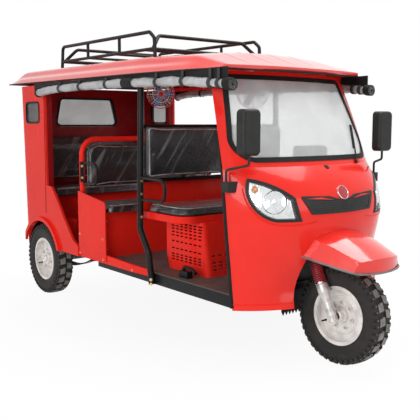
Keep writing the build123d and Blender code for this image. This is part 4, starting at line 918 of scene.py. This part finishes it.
def makeNoseFittings():
    v = noseValues
    spot, normal = touch("front_cowl", at(*v["badge"]), Vector((0, 1, 0)))
    normal = Vector((0, normal.y, normal.z)).normalized()
    foot, r = spot - normal * v["sunk"], v["badgeRadius"]
    bm = bmesh.new()
    rim = [(r * 0.93, 0.0118), (r * 0.95, 0.0135), (r * 0.985, 0.0130), (r, 0.0105), (r, 0.0)]
    turnedDisc(bm, foot, normal, rim, 48)
    finishPiece("badgeRim", bm, "chromePlate", "chassis")
    bm = bmesh.new()
    turnedDisc(bm, foot, normal, [(0, 0.0150), (r * 0.5, 0.0144), (r * 0.94, 0.0118), (r * 0.94, 0.0)], 48)
    finishPiece("badgeFace", bm, "badgeEnamel", "chassis")
    spot, normal = touch("front_cowl", at(*v["nozzle"]), Vector((0, 1, 0)))
    bm = bmesh.new()
    long, wide, tall = v["nozzleSize"]
    place = facingFrame(spot, normal) @ Matrix.Diagonal((wide, long, tall, 1))
    roundEdges(bm, boxEdges(bmesh.ops.create_cube(bm, size=1.0, matrix=place)["verts"]), 0.005, 3)
    jet = facingFrame(spot + normal * (tall / 2), normal)
    bmesh.ops.create_uvsphere(bm, u_segments=12, v_segments=8, radius=v["jet"], matrix=jet)
    finishPiece("washerNozzle", bm, "mattPlastic", "chassis")


makeNoseFittings()


doorSealValues = dict(path=((600, 263, 360), (600, 293, 615), (600, 315, 780), (600, 341, 1035), (590, 387, 1210),
                            (582, 416, 1315)),
                      stations=56, half=(0.0095, 0.0130), corner=0.006, shift=(-4, 4), taper=(0.62, 0.3))


def makeDoorSeals():
    v = doorSealValues
    route = [at(x + v["shift"][0], y + v["shift"][1], z) for x, y, z in v["path"]]
    begin, least = v["taper"]
    shares = [k / (v["stations"] - 1) for k in range(v["stations"])]
    scale = [1 - (1 - least) * max(0, (share - begin) / (1 - begin)) for share in shares]
    bm = bmesh.new()
    sweepRings(bm, smoothPath(route, v["stations"]), roundedSection(*v["half"], v["corner"]), Vector((1, 0, 0)),
               scale=scale)
    mirrored(bm)
    finishPiece("doorSeals", bm, "softRubber", "chassis")


makeDoorSeals()


# the right half of the fender's lower edge, from its rear corner to its tip; the left half mirrors it
fenderTrimValues = dict(radius=0.0062, stations=90,
                        path=((-252, 85, 631), (-240, 20, 620), (-225, -80, 604), (-208, -160, 590),
                              (-190, -226, 579), (-150, -252, 573), (-80, -270, 570), (0, -276, 569)))


def makeFenderTrim():
    v = fenderTrimValues
    route = [at(*p) for p in v["path"]] + [at(-x, y, z) for x, y, z in v["path"][-2::-1]]
    bm = bmesh.new()
    sweepRings(bm, smoothPath(route, v["stations"]), roundSection(v["radius"], 8), Vector((0, 0, 1)))
    finishPiece("fenderTrim", bm, "greyTrim", "chassis")


makeFenderTrim()
print("nose fittings made")


# ---- bolts and plates ----
boltRows = {
    # size is across the head and its height; each spot is where the line towards the node begins
    "pillarBolts": dict(node="door_pillars", heading=(0.43, 0.9, 0), size=(0.013, 0.006), finish="goldZinc",
                        spots=((-620, 1100, 996), (-622, 1100, 913), (-624, 1100, 767), (-636, 990, 356),
                               (-636, 990, 384))),
    "frontPanelBolts": dict(node="middle_seat_base", heading=(0, 1, 0), size=(0.012, 0.006), finish="goldZinc",
                            spots=((-563, 1500, 683), (-567, 1500, 479))),
    "sidePanelBolts": dict(node="middle_seat_base", heading=(1, 0, 0), size=(0.012, 0.006), finish="goldZinc",
                           spots=((-700, 1640, 417), (-700, 1972, 420), (-700, 1640, 560), (-700, 1972, 560))),
    "sillBolts": dict(node="sills", heading=(1, 0, 0), size=(0.011, 0.005), finish="goldZinc",
                      spots=((-700, 560, 402), (-700, 860, 402), (-700, 1280, 402), (-700, 2110, 402))),
}


def makeBolts():
    for name, v in boltRows.items():
        bm = bmesh.new()
        heading = Vector(v["heading"])
        for spot in v["spots"]:
            found, normal = touch(v["node"], at(*spot), heading)
            if found is not None:
                addBolt(bm, found, normal, *v["size"])
            else:
                print("no seat for", name, spot)
        mirrored(bm)
        finishPiece(name, bm, v["finish"], "chassis", smooth=30)


makeBolts()

handlePlateValues = dict(centre=(-589, 1900, 1010), size=(0.027, 0.146, 0.005), facing=(-0.30, -0.95, 0),
                         bolts=(1052, 968), boltSize=(0.013, 0.006))


def makeHandlePlates():
    v = handlePlateValues
    bm, screws = bmesh.new(), bmesh.new()
    spot = touch("middle_back_frame", at(*v["centre"]), Vector((0, 1, 0)))[0]
    normal = Vector(v["facing"]).normalized()
    addPlate(bm, facingFrame(spot - normal * 0.002, normal), v["size"])
    for z in v["bolts"]:
        addBolt(screws, Vector((spot.x, spot.y, z / 1000)) + normal * 0.003, normal, *v["boltSize"])
    mirrored(bm)
    mirrored(screws)
    finishPiece("handlePlates", bm, "blackEnamel", "chassis", smooth=30)
    finishPiece("handlePlateBolts", screws, "goldZinc", "chassis", smooth=30)


makeHandlePlates()
print("bolts and plates made")


# ---- mirrors ----
mirrorValues = dict(centre=(-552, 190, 1308), face=(0.104, 0.220), glass=0.0035, corner=0.024, bead=0.003)


def makeMirrorFaces():
    v = mirrorValues
    x, y, z = v["centre"]
    spot, normal = touch("mirrors", at(x, y + 300, z), Vector((0, -1, 0)))
    bm = bmesh.new()
    addPlate(bm, facingFrame(spot - normal * 0.002, normal), (*v["face"], v["glass"]), v["corner"])
    mirrored(bm)
    finishPiece("mirrorFaces", bm, "mirrorFace", "chassis", smooth=30)
    bm = bmesh.new()
    place = facingFrame(spot, normal)
    outline = roundedSection(v["face"][0] / 2 + 0.002, v["face"][1] / 2 + 0.002, v["corner"], 6)
    path = [place @ Vector((u, w, 0.001)) for u, w in outline]
    sweepRings(bm, path, roundSection(v["bead"], 6), normal, closed=True)
    mirrored(bm)
    finishPiece("mirrorBeads", bm, "mattPlastic", "chassis")


makeMirrorFaces()


# ---- wheels ----
wheelValues = dict(nuts=7, nutCircle=0.072, nutSize=(0.013, 0.009), studRadius=0.0035, studReach=0.011, cap=0.036,
                   rings=((0.108, 0.0032), (0.098, 0.0020)), valveRadius=0.118, hubAt=0.040, pinEnd=0.062)
wheelPlaces = {
    "front_wheel": dict(node="front_rim", centre=(0.00251, -1.38341, 0.27995),
                        axis=(-0.996493, -0.075209, 0.036682), openHub=True),
    "rear_wheel_right": dict(node="rear_rim_right", centre=(-0.551, 1.2085, 0.28), axis=(-1, 0, 0), openHub=False),
    "rear_wheel_left": dict(node="rear_rim_left", centre=(0.551, 1.2085, 0.28), axis=(1, 0, 0), openHub=False),
}


def makeWheelFittings(body, place):
    v = wheelValues
    axis, centre = Vector(place["axis"]).normalized(), Vector(place["centre"])
    up = (Vector((0, 0, 1)) - axis * axis.z).normalized()
    side = axis.cross(up)
    nuts, steel, valve = bmesh.new(), bmesh.new(), bmesh.new()

    def onRim(out):
        return touch(place["node"], centre + out + axis * 0.2, -axis)[0]

    for k in range(v["nuts"]):
        turn = math.tau * k / v["nuts"]
        spot = onRim((up * math.cos(turn) + side * math.sin(turn)) * v["nutCircle"])
        addBolt(nuts, spot - axis * 0.001, axis, *v["nutSize"])
        stud = facingFrame(spot + axis * v["studReach"], axis)
        addCone(nuts, stud, v["studRadius"], v["studRadius"] * 0.8, 0.007, 10)
    finishPiece(titled("wheelNuts", body), nuts, "forkSilver", body, smooth=30)
    level = (onRim(up * v["hubAt"]) - centre).dot(axis)
    for radius, wide in v["rings"]:
        base = (onRim(up * radius) - centre).dot(axis)
        profile = [(radius - wide, base - 0.001), (radius - wide * 0.6, base + wide * 0.55),
                   (radius, base + wide * 0.8), (radius + wide * 0.6, base + wide * 0.55),
                   (radius + wide, base - 0.001)]
        turnedDisc(steel, centre, axis, profile, 64)
    r = v["cap"]
    if place["openHub"]:
        # the wheel pin's dust ring, with its dark end inside
        end = v["pinEnd"]
        profile = [(0.0205, end - 0.003), (0.0205, end + 0.004), (0.0235, end + 0.0055), (0.0310, end + 0.0045),
                   (0.0345, end), (0.0348, end - 0.004), (0.0342, end - 0.006)]
        turnedDisc(valve, centre, axis, [(0, end + 0.0015), (0.008, end + 0.0015), (0.009, end + 0.0005),
                                         (0.0207, end + 0.0005), (0.0207, end - 0.002)], 32)
    else:
        profile = [(0, level + 0.022), (r * 0.5, level + 0.021), (r * 0.72, level + 0.017),
                   (r * 0.78, level + 0.012), (r * 0.80, level + 0.003), (r, level + 0.002),
                   (r * 1.05, level - 0.001)]
    turnedDisc(steel, centre, axis, profile, 48)
    finishPiece(titled("wheelTrim", body), steel, "silverEnamel", body, smooth=45)
    low = (up * -0.42 + side * (0.9 if axis.x < 0 else -0.9)).normalized()
    foot, lean = onRim(low * v["valveRadius"]), (axis + low * 0.2).normalized()
    addCone(valve, facingFrame(foot + axis * 0.013, lean), 0.0055, 0.0042, 0.030, 12)
    addCone(valve, facingFrame(foot + axis * 0.030 + low * 0.003, lean), 0.0052, 0.0050, 0.010, 12)
    finishPiece(titled("valve", body), valve, "softRubber", body)


for body, place in wheelPlaces.items():
    makeWheelFittings(body, place)
print("wheel fittings made")


# ---- fork bellows, grips and levers ----
steerOrigin = at(0, 27, 267)
steerUp = Vector((0, 0.438371, 0.898794))
steerBack = Vector((0, 0.898794, -0.438371))
parkedTurn = Matrix.Rotation(math.radians(4.8), 4, steerUp).to_3x3()


def onSteer(up, across=0.0, ahead=0.0):
    # a point up the steering axis from beside the axle, with the bars turned as they are parked
    offset = steerUp * up + Vector((across, 0, 0)) - steerBack * ahead
    return steerOrigin + parkedTurn @ (offset / 1000)


bellowsValues = dict(across=101, ahead=30, low=196, high=352, pitch=13, radius=0.0365, ridge=0.0055, taper=0.12)


def makeBellows():
    v = bellowsValues
    bm, clips = bmesh.new(), bmesh.new()
    axis = parkedTurn @ steerUp
    for side in (-1, 1):
        foot = onSteer(v["low"], side * v["across"], v["ahead"])
        profile, reach = [(v["radius"] - 0.009, 0.0)], 0.0
        length = (v["high"] - v["low"]) / 1000
        while reach < length:
            narrow = 1 - v["taper"] * reach / length
            profile.append(((v["radius"] - v["ridge"]) * narrow, reach + 0.0005))
            profile.append((v["radius"] * narrow, reach + v["pitch"] / 3000))
            profile.append((v["radius"] * narrow, reach + v["pitch"] / 1700))
            reach += v["pitch"] / 1000
        profile.append(((v["radius"] - v["ridge"]) * (1 - v["taper"]), reach))
        profile.append((0.020, reach))
        turnedDisc(bm, foot, axis, profile, 30)
        for shift in (0.004, length - 0.004):
            r = v["radius"] * (1.0 if shift < 0.01 else 0.9)
            band = [(r - 0.004, -0.004), (r + 0.0015, -0.003), (r + 0.0015, 0.003), (r - 0.004, 0.004)]
            turnedDisc(clips, foot + axis * shift, axis, band, 30)
    finishPiece("forkBellows", bm, "darkRedRubber", "steering")
    finishPiece("bellowsClips", clips, "chromePlate", "steering")


makeBellows()
print("bellows made")

gripValues = dict(radius=0.0175, ridge=0.0016, pitch=0.008, length=0.088, tip=0.004, pod=(0.030, 0.030, 0.026),
                  podRound=0.007, knob=0.0075,
                  lever=((0.004, 0.0), (0.018, -0.032), (0.028, -0.07), (0.024, -0.11)))


def makeGrips():
    v = gripValues
    bm, levers = bmesh.new(), bmesh.new()
    outer, groove = v["radius"], v["radius"] - v["ridge"]
    for side in (-1, 1):
        tip = onBar(side, v["tip"])
        inner = onBar(side, v["length"])
        axis = (inner - tip).normalized()
        profile, reach = [(0.0, -0.004), (outer * 0.9, -0.003)], 0.0
        while reach < v["length"]:
            profile += [(outer, reach), (outer, reach + 0.004), (groove, reach + 0.005), (groove, reach + 0.007)]
            reach += v["pitch"]
        profile += [(outer + 0.004, reach), (outer + 0.004, reach + 0.006), (0.012, reach + 0.007)]
        turnedDisc(bm, tip, axis, profile, 20)
        ahead = -(parkedTurn @ steerBack)
        pod = inner + axis * 0.018
        place = facingFrame(pod - ahead * 0.009, axis) @ Matrix.Diagonal((*v["pod"], 1))
        roundEdges(bm, boxEdges(bmesh.ops.create_cube(bm, size=1.0, matrix=place)["verts"]), v["podRound"], 3)
        # each point of the lever lies so far ahead of the pod, and so far along the grip, minus towards its tip
        path = smoothPath([pod + ahead * forward + axis * along for forward, along in v["lever"]], 14)
        sweepRings(levers, path, roundedSection(0.0035, 0.0062, 0.003, 2), steerUp)
        bmesh.ops.create_uvsphere(levers, u_segments=12, v_segments=8, radius=v["knob"],
                                  matrix=Matrix.Translation(path[-1]))
    finishPiece("grips", bm, "softRubber", "steering")
    finishPiece("barLevers", levers, "blackEnamel", "steering")


def onBar(side, inward):
    # a point on the handlebar's middle line, measured in from its tip
    mesh = cadNodes["handlebar"].data
    across = parkedTurn @ Vector((1, 0, 0))
    reach = [(p.co - steerOrigin).dot(across) * side for p in mesh.vertices]
    goal = max(reach) - inward
    near = sorted(zip((abs(r - goal) for r in reach), range(len(reach))))[:60]
    ring = [mesh.vertices[k].co for _, k in near]
    low = Vector([min(c[j] for c in ring) for j in range(3)])
    high = Vector([max(c[j] for c in ring) for j in range(3)])
    return (low + high) / 2


makeGrips()
print("grips made")


# ---- tread faces, fork sliders ----
treadValues = dict(count=22, share=0.62, gap=0.0035, half=0.0675, outer=0.280, reach=0.88, inset=0.0026,
                   rise=0.0009, foot=0.008, skew=0.12, shoulder=0.72, crownDrop=0.004, sideDrop=0.018)


def crownRadius(x):
    # the tyre's tread arch: nearly flat, then falling off at the shoulder
    v = treadValues
    share = abs(x) / v["half"]
    if share < v["shoulder"]:
        return v["outer"] - v["crownDrop"] * share / v["shoulder"]
    return v["outer"] - v["crownDrop"] - v["sideDrop"] * (share - v["shoulder"]) / 0.23


def makeTread(body, centre, turn):
    # a light grey face on every lug, set at a slight angle to its neighbour
    v = treadValues
    pitch = math.tau / v["count"]
    narrow = v["inset"] / v["outer"]
    bm = bmesh.new()

    def place(x, angle, radius):
        return centre + turn @ Vector((x, radius * math.cos(angle), radius * math.sin(angle)))

    for side, phase in ((-1, 0.0), (1, 0.5)):
        near, far = v["gap"], v["half"] * v["reach"]
        for k in range(v["count"]):
            first = (k + phase) * pitch - math.pi / 2
            rows = []
            for i in range(5):
                share = i / 4
                x = side * (near + (far - near) * share)
                start = first + v["skew"] * pitch * (share - 0.5)
                end = start + v["share"] * pitch
                inner = x + side * v["inset"] * (1 if i == 0 else -1 if i == 4 else 0)
                face = crownRadius(inner) + v["rise"]
                top = [place(inner, start + narrow + (end - start - 2 * narrow) * j / 2, face) for j in range(3)]
                foot = crownRadius(x) - v["foot"]
                rows.append([place(x, start, foot), *top, place(x, end, foot)])
            strips = [[bm.verts.new(p) for p in row] for row in rows]
            for one, two in zip(strips, strips[1:]):
                for j in range(4):
                    bm.faces.new((one[j], one[j + 1], two[j + 1], two[j]))
            # both ends are closed down to the foot of the lug
            for row, strip in ((rows[0], strips[0]), (rows[-1], strips[-1])):
                drop = (row[0] - row[1]).dot((centre - row[1]).normalized())
                low = [bm.verts.new(p + drop * (centre - p).normalized()) for p in row[1:4]]
                bm.faces.new((strip[0], low[0], strip[1]))
                bm.faces.new((low[0], low[1], strip[2], strip[1]))
                bm.faces.new((low[1], low[2], strip[3], strip[2]))
                bm.faces.new((low[2], strip[4], strip[3]))
    finishPiece(titled("tread", body), bm, "treadRubber", body, smooth=30)


shoulderValues = dict(count=44, share=0.58, across=(0.0560, 0.0708), low=0.2420, high=(0.2750, 0.2640), lean=0.004,
                      short=0.00336, stagger=0.25, edge=0.0012)


def makeShoulders(body, centre, turn):
    # chunky lugs that wrap from the tread on to the sidewall
    v = shoulderValues
    pitch = math.tau / v["count"]
    bm = bmesh.new()
    for side in (-1, 1):
        for k in range(v["count"]):
            for vertex in bmesh.ops.create_cube(bm, size=1.0)["verts"]:
                far, top = vertex.co.x > 0, vertex.co.z > 0
                x = side * (v["across"][far] - (v["lean"] if far and top else 0))
                radius = v["high"][far] if top else v["low"] + (0 if k % 2 else v["short"])
                angle = (k + v["stagger"] * side + vertex.co.y * v["share"]) * pitch
                vertex.co = centre + turn @ Vector((x, radius * math.cos(angle), radius * math.sin(angle)))
    roundEdges(bm, bm.edges[:], v["edge"], 1)
    finishPiece(titled("shoulderLugs", body), bm, "tyreRubber", body, smooth=30)


for body, place in wheelPlaces.items():
    turn = parkedTurn if body == "front_wheel" else Matrix.Identity(3)
    makeTread(body, Vector(place["centre"]), turn)
    makeShoulders(body, Vector(place["centre"]), turn)
print("tread made")

sliderValues = dict(across=101, ahead=30, profile=((0.0, 14), (0.019, 15), (0.023, 20), (0.0255, 60), (0.0275, 96),
                                                   (0.0285, 120), (0.0335, 138), (0.0345, 150), (0.0345, 188),
                                                   (0.0325, 194), (0.0, 195)))


def makeSliders():
    v = sliderValues
    bm = bmesh.new()
    axis = parkedTurn @ steerUp
    profile = [(r, d / 1000) for r, d in v["profile"]]
    for side in (-1, 1):
        turnedDisc(bm, onSteer(0, side * v["across"], v["ahead"]), axis, profile, 32)
    finishPiece("forkSliders", bm, "forkSilver", "steering", smooth=40)


makeSliders()
print("fork sliders made")


# ---- moulded roof skin ----
# each row: station, half width and height of the lip, half width and height of the shoulder, height of the crown
roofValues = dict(rows=((340, 556, 1655, 530, 1664, 1676), (640, 620, 1657, 560, 1742, 1780),
                        (1150, 646, 1661, 572, 1762, 1802), (2890, 650, 1676, 576, 1770, 1808),
                        (3040, 650, 1678, 606, 1698, 1712)),
                  front=(345, 65), rear=3040, grid=(120, 130), side=0.26, rounding=9, wall=0.006, lower=0.0015,
                  ridges=(0, 175, 350), ridge=(5.0, 13.0), ridgeFrom=(400, 460), fold=(6.0, 1.6), foldEdge=0.12,
                  foldFrom=(560, 900), foldEnd=(60, 120))


def ramp(value, begin, end):
    return min(1, max(0, (value - begin) / (end - begin)))


def roofRow(station):
    rows = roofValues["rows"]
    for near, far in zip(rows, rows[1:]):
        if station <= far[0] or far is rows[-1]:
            share = ramp(station, near[0], far[0])
            return [a + (b - a) * share for a, b in zip(near, far)]


def makeRoofSkin():
    # one moulding: crown with lengthwise ridges, a rounded shoulder and a folded side
    v = roofValues
    bm = bmesh.new()
    bmesh.ops.create_grid(bm, x_segments=v["grid"][0], y_segments=v["grid"][1], size=0.5)
    spans = {}

    def frontAt(t):
        return v["front"][0] + v["front"][1] * t * t

    for vertex in bm.verts:
        t, s = vertex.co.x * 2, vertex.co.y + 0.5
        station = frontAt(t) + (v["rear"] - frontAt(t)) * s
        _, lipHalf, lip, shoulderHalf, shoulder, crown = roofRow(station)
        split = 1 - v["side"]
        if abs(t) <= split:
            x = shoulderHalf * abs(t) / split
            z = crown - (crown - shoulder) * (x / shoulderHalf) ** 2
        else:
            share = (abs(t) - split) / v["side"]
            x, z = shoulderHalf + (lipHalf - shoulderHalf) * share, shoulder + (lip - shoulder) * share
        vertex.co = at(math.copysign(x, t), station, z) - Vector((0, 0, v["lower"]))
        spans[vertex] = (t, station)
    # the front and rear ends turn down to the edge strip
    atEnd = {p: spans[p][1] > v["rear"] - 1 or spans[p][1] < frontAt(spans[p][0]) + 1 for p in bm.verts}
    ends = set(newVerts(bmesh.ops.extrude_edge_only(
        bm, edges=[e for e in bm.edges if e.is_boundary and all(atEnd[p] for p in e.verts)])))
    for vertex in ends:
        old = next(e.other_vert(vertex) for e in vertex.link_edges if e.other_vert(vertex) in spans)
        vertex.co.z = min(old.co.z, roofRow(spans[old][1])[2] / 1000 - 0.001)
    inside = [p for p in bm.verts if not p.is_boundary and all(e.other_vert(p) not in ends for e in p.link_edges)]
    for _ in range(v["rounding"]):
        bmesh.ops.smooth_vert(bm, verts=inside, factor=0.5, use_axis_x=True, use_axis_y=True, use_axis_z=True)
    bm.normal_update()
    if sum(f.normal.z for f in bm.faces) < 0:
        bmesh.ops.reverse_faces(bm, faces=bm.faces)
    bm.normal_update()
    rise, wide = v["ridge"]
    deep, waves = v["fold"]
    moves = {}
    for vertex in inside:
        t, station = spans[vertex]
        share = (abs(t) - (1 - v["side"])) / v["side"]
        if share > -v["foldEdge"]:
            across = (share + v["foldEdge"]) / (1 + v["foldEdge"])
            fade = ramp(station, *v["foldFrom"]) * ramp(v["rear"] - v["foldEnd"][0] - station, 0, v["foldEnd"][1])
            push = deep * fade * math.sin(math.tau * waves * across) * math.sin(math.pi * min(1, across))
        else:
            x = abs(vertex.co.x) * 1000
            ridge = sum(math.exp(-((x - place) / wide) ** 2) for place in v["ridges"])
            push = rise * ridge * ramp(station, *v["ridgeFrom"]) * 0.5
        moves[vertex] = vertex.normal * (push / 1000)
    for vertex, move in moves.items():
        vertex.co += move
    skin = finishPiece("roofSkin", bm, "roofEnamel", "chassis", smooth=60)
    thicken(skin, v["wall"], -1)
    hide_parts("roof")


makeRoofSkin()
print("roof skin made")


# ---- front fender, with the clean bends of its top rounded and all else as the part has it ----
fenderValues = dict(fold=(12, 62), shortest=0.05, round=0.016, steps=4)


def makeFenderSkin():
    v = fenderValues
    bm = bmesh.new()
    bm.from_mesh(cadNodes["front_fender"].data)
    bmesh.ops.remove_doubles(bm, verts=bm.verts, dist=0.0001)
    bmesh.ops.dissolve_limit(bm, angle_limit=math.radians(1.0), verts=bm.verts, edges=bm.edges)
    bmesh.ops.recalc_face_normals(bm, faces=bm.faces)
    low, high = (math.radians(a) for a in v["fold"])
    folds = [e for e in bm.edges if e.is_manifold and e.calc_length() > v["shortest"]
             and low < e.calc_face_angle() < high and sum((f.normal for f in e.link_faces), Vector()).z > 0.3]
    print("fender folds:", len(folds))
    bmesh.ops.bevel(bm, geom=folds, offset=v["round"], offset_type="OFFSET", segments=v["steps"], profile=0.5,
                    affect="EDGES", clamp_overlap=True, material=-1)
    skin = finishPiece("fenderSkin", bm, "fenderEnamel", "chassis", smooth=40)
    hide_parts("front_fender")


makeFenderSkin()


# ---- sheet panel behind the driver's seat ----
seatPanelValues = dict(half=560, station=1229, low=800, high=984, wall=0.003, fold=0.012, edge=0.0008)


def makeSeatPanel():
    # a bare sheet with a narrow fold along its top
    v = seatPanelValues
    bm = bmesh.new()
    low, high = at(-v["half"], v["station"], v["low"]), at(v["half"], v["station"], v["high"])
    wide = high.x - low.x
    for centre, size in (((low + high) / 2, (wide, v["wall"], high.z - low.z)),
                         (Vector((0, low.y - v["fold"] / 2, high.z)), (wide, v["fold"], v["wall"]))):
        bmesh.ops.create_cube(bm, size=1.0, matrix=Matrix.Translation(centre) @ Matrix.Diagonal((*size, 1)))
    roundEdges(bm, bm.edges[:], v["edge"], 2)
    finishPiece("seatPanel", bm, "redEnamel", "chassis", smooth=30)


makeSeatPanel()
print("fender and seat panel made")


# ---- roll rail, seams and beads on the body ----
rollRailValues = dict(reach=(336, 2560), stations=47, half=0.003, foot=0.016, highest=1.655)


def makeRollRails():
    # a black strip under the roof's edge along the top of the roll, filling the dark band between them
    v = rollRailValues
    first, last = v["reach"]
    for side in (-1, 1):
        bm = bmesh.new()
        rings = []
        for k in range(v["stations"]):
            centre = rollCentre(first + (last - first) * k / (v["stations"] - 1))
            spot = Vector((centre.x * -side, centre.y, centre.z))
            roofs = [touch(node, spot, Vector((0, 0, 1)), 0.3)[0] for node in ("roof_edge", "roof")]
            top = min([p.z for p in roofs if p is not None] + [v["highest"]]) + 0.001 - spot.z
            section = [(v["half"], top), (-v["half"], top), (-v["half"], v["foot"]), (v["half"], v["foot"])]
            rings.append(addRing(bm, spot, Vector((1, 0, 0)), Vector((0, 0, 1)), section))
        bridgeRings(bm, rings)
        finishPiece(sided("rollRail", side), bm, "softRubber", "chassis")


makeRollRails()

beadValues = {
    "quarterSeam": dict(node="rear_body", heading=(1, 0, 0), radius=0.0028, finish="softRubber",
                        slot="black_rubber",
                        path=((-800, 2492, 1565), (-800, 2495, 1300), (-800, 2500, 1000), (-800, 2506, 745),
                              (-800, 2508, 660))),
    "hemBead": dict(node="front_cowl", heading=(0.643, 0.766, 0), radius=0.0035, finish="redEnamel",
                    slot="red_paint",
                    path=((-790, 40, 380), (-740, 0, 378), (-640, -70, 376), (-540, -140, 374),
                          (-470, -190, 373))),
}
# the line under each headlight, outward and up from the lamp's middle
browValues = dict(path=((139, 92), (136, 44), (63, -58), (-30, -104), (-110, -107), (-178, -105), (-250, -94)),
                  radius=0.0042, stations=80)


def addBead(bm, node, starts, heading, radius, count=60):
    points = []
    for begin in smoothPath(starts, count):
        spot = touch(node, begin, heading)[0]
        if spot is not None:
            points.append(spot)
    if len(points) > 3:
        sweepRings(bm, points, roundSection(radius, 8), heading)
    return len(points)


def makeBeads():
    for name, v in beadValues.items():
        bm = bmesh.new()
        found = addBead(bm, v["node"], [at(*p) for p in v["path"]], Vector(v["heading"]).normalized(), v["radius"])
        mirrored(bm)
        finishPiece(name, bm, v["finish"], "chassis")
        print(name, "on", found, "points")
    # the pressed line that runs under each headlight and on towards the grille
    for side in (-1, 1):
        ahead = lampFrame(side)[2]
        starts = [lampSpot(side, u, w) + ahead * 0.3 for u, w in browValues["path"]]
        bm = bmesh.new()
        addBead(bm, "front_cowl", starts, -ahead, browValues["radius"], browValues["stations"])
        finishPiece(sided("browBead", side), bm, "redEnamel", "chassis")


makeBeads()
print("seams and beads made")


# ---- fan wires ----
fanValues = dict(places=((200, 1000, 1560), (0, 1800, 1572)), facing=(-0.5736, -0.8192, 0), rings=(30, 46, 76, 91),
                 wire=0.0011, spokes=24, level=(0.0292, 0.0302), rim=0.1035,
                 spoke=((0.018, 0.0300), (0.06, 0.0306), (0.1035, 0.0290)))


def makeFanWires():
    v = fanValues
    facing = Vector(v["facing"]).normalized()
    side, up = facing.cross(Vector((0, 0, 1))).normalized(), Vector((0, 0, 1))
    wire, (foot, crest) = v["wire"], v["level"]
    for name, place in zip(("front", "rear"), v["places"]):
        centre = at(*place)
        bm, rim = bmesh.new(), bmesh.new()
        for radius in v["rings"]:
            r = radius / 1000
            turnedDisc(bm, centre, facing, [(r - wire, foot), (r, crest), (r + wire, foot)], 48)
        for k in range(v["spokes"]):
            turn = math.tau * k / v["spokes"]
            out = side * math.cos(turn) + up * math.sin(turn)
            sweepRings(bm, [centre + out * r + facing * d for r, d in v["spoke"]], roundSection(wire, 5), facing)
        r = v["rim"]
        hoop = [(r - 0.003, 0.0288), (r - 0.001, 0.0306), (r + 0.002, 0.03), (r + 0.003, 0.028)]
        turnedDisc(rim, centre, facing, hoop, 64)
        turnedDisc(rim, centre, facing, [(0, 0.0325), (0.012, 0.0318), (0.0185, 0.0290)], 32)
        finishPiece(name + "FanWires", bm, "whiteWire", "chassis")
        finishPiece(name + "FanRim", rim, "redPlastic", "chassis")


makeFanWires()
print("fan wires made")


# ---- dial, tail lamps and blank plate ----
rearValues = dict(plate=(0.240, 0.120, 0.003), plateAt=(0, 3300, 470), screws=(0.010, 0.004),
                  lamps=(455, 720), lampGap=26,
                  lens=((0, 0.0052), (0.010, 0.0050), (0.018, 0.0036), (0.0215, 0.0016), (0.022, 0)),
                  dialAt=(26, 700, 1178), dial=0.038, needle=(0.030, 0.0022, 0.0012), needleTurn=0.5)


def makeRearAndDial():
    v = rearValues
    spot, normal = touch("rear_body", at(*v["plateAt"]), Vector((0, -1, 0)))
    bm, screws = bmesh.new(), bmesh.new()
    place = facingFrame(spot - normal * 0.001, normal)
    addPlate(bm, place, v["plate"], 0.008)
    for u in (-0.09, 0.09):
        addBolt(screws, place @ Vector((u, 0, 0.0035)), normal, *v["screws"])
    finishPiece("blankPlate", bm, "plateMetal", "chassis", smooth=30)
    finishPiece("plateScrews", screws, "goldZinc", "chassis", smooth=30)
    bm, lens = bmesh.new(), bmesh.new()
    for side in (-1, 1):
        for shift, target in ((v["lampGap"], bm), (-v["lampGap"], lens)):
            begin = at(side * v["lamps"][0], 3400, v["lamps"][1] + shift)
            found, normal = touch("tail_lamps", begin, Vector((0, -1, 0)))
            if found is not None:
                turnedDisc(target, found, normal, v["lens"], 28)
    finishPiece("tailAmber", bm, "amberGlass", "chassis")
    finishPiece("tailRed", lens, "redLens", "chassis")
    spot, normal = touch("instruments", at(*v["dialAt"]), Vector((0, -1, 0)))
    bm, bezel = bmesh.new(), bmesh.new()
    r = v["dial"]
    turnedDisc(bm, spot, normal, [(0, 0.0022), (r * 0.95, 0.0020), (r, 0.0)], 40)
    hoop = [(r * 0.95, 0.0015), (r * 0.97, 0.0052), (r * 1.04, 0.0058), (r * 1.10, 0.0)]
    turnedDisc(bezel, spot, normal, hoop, 40)
    needle = facingFrame(spot + normal * 0.0030, normal) @ Matrix.Translation((-0.012, -0.006, 0))
    needle = needle @ Matrix.Rotation(v["needleTurn"], 4, "Z") @ Matrix.Diagonal((*v["needle"], 1))
    bmesh.ops.create_cube(bezel, size=1.0, matrix=needle)
    finishPiece("dialFace", bm, "dialFace", "chassis")
    finishPiece("dialBezel", bezel, "mattPlastic", "chassis")


makeRearAndDial()
print("dial, tail lamps and plate made")


print("pieces ready")
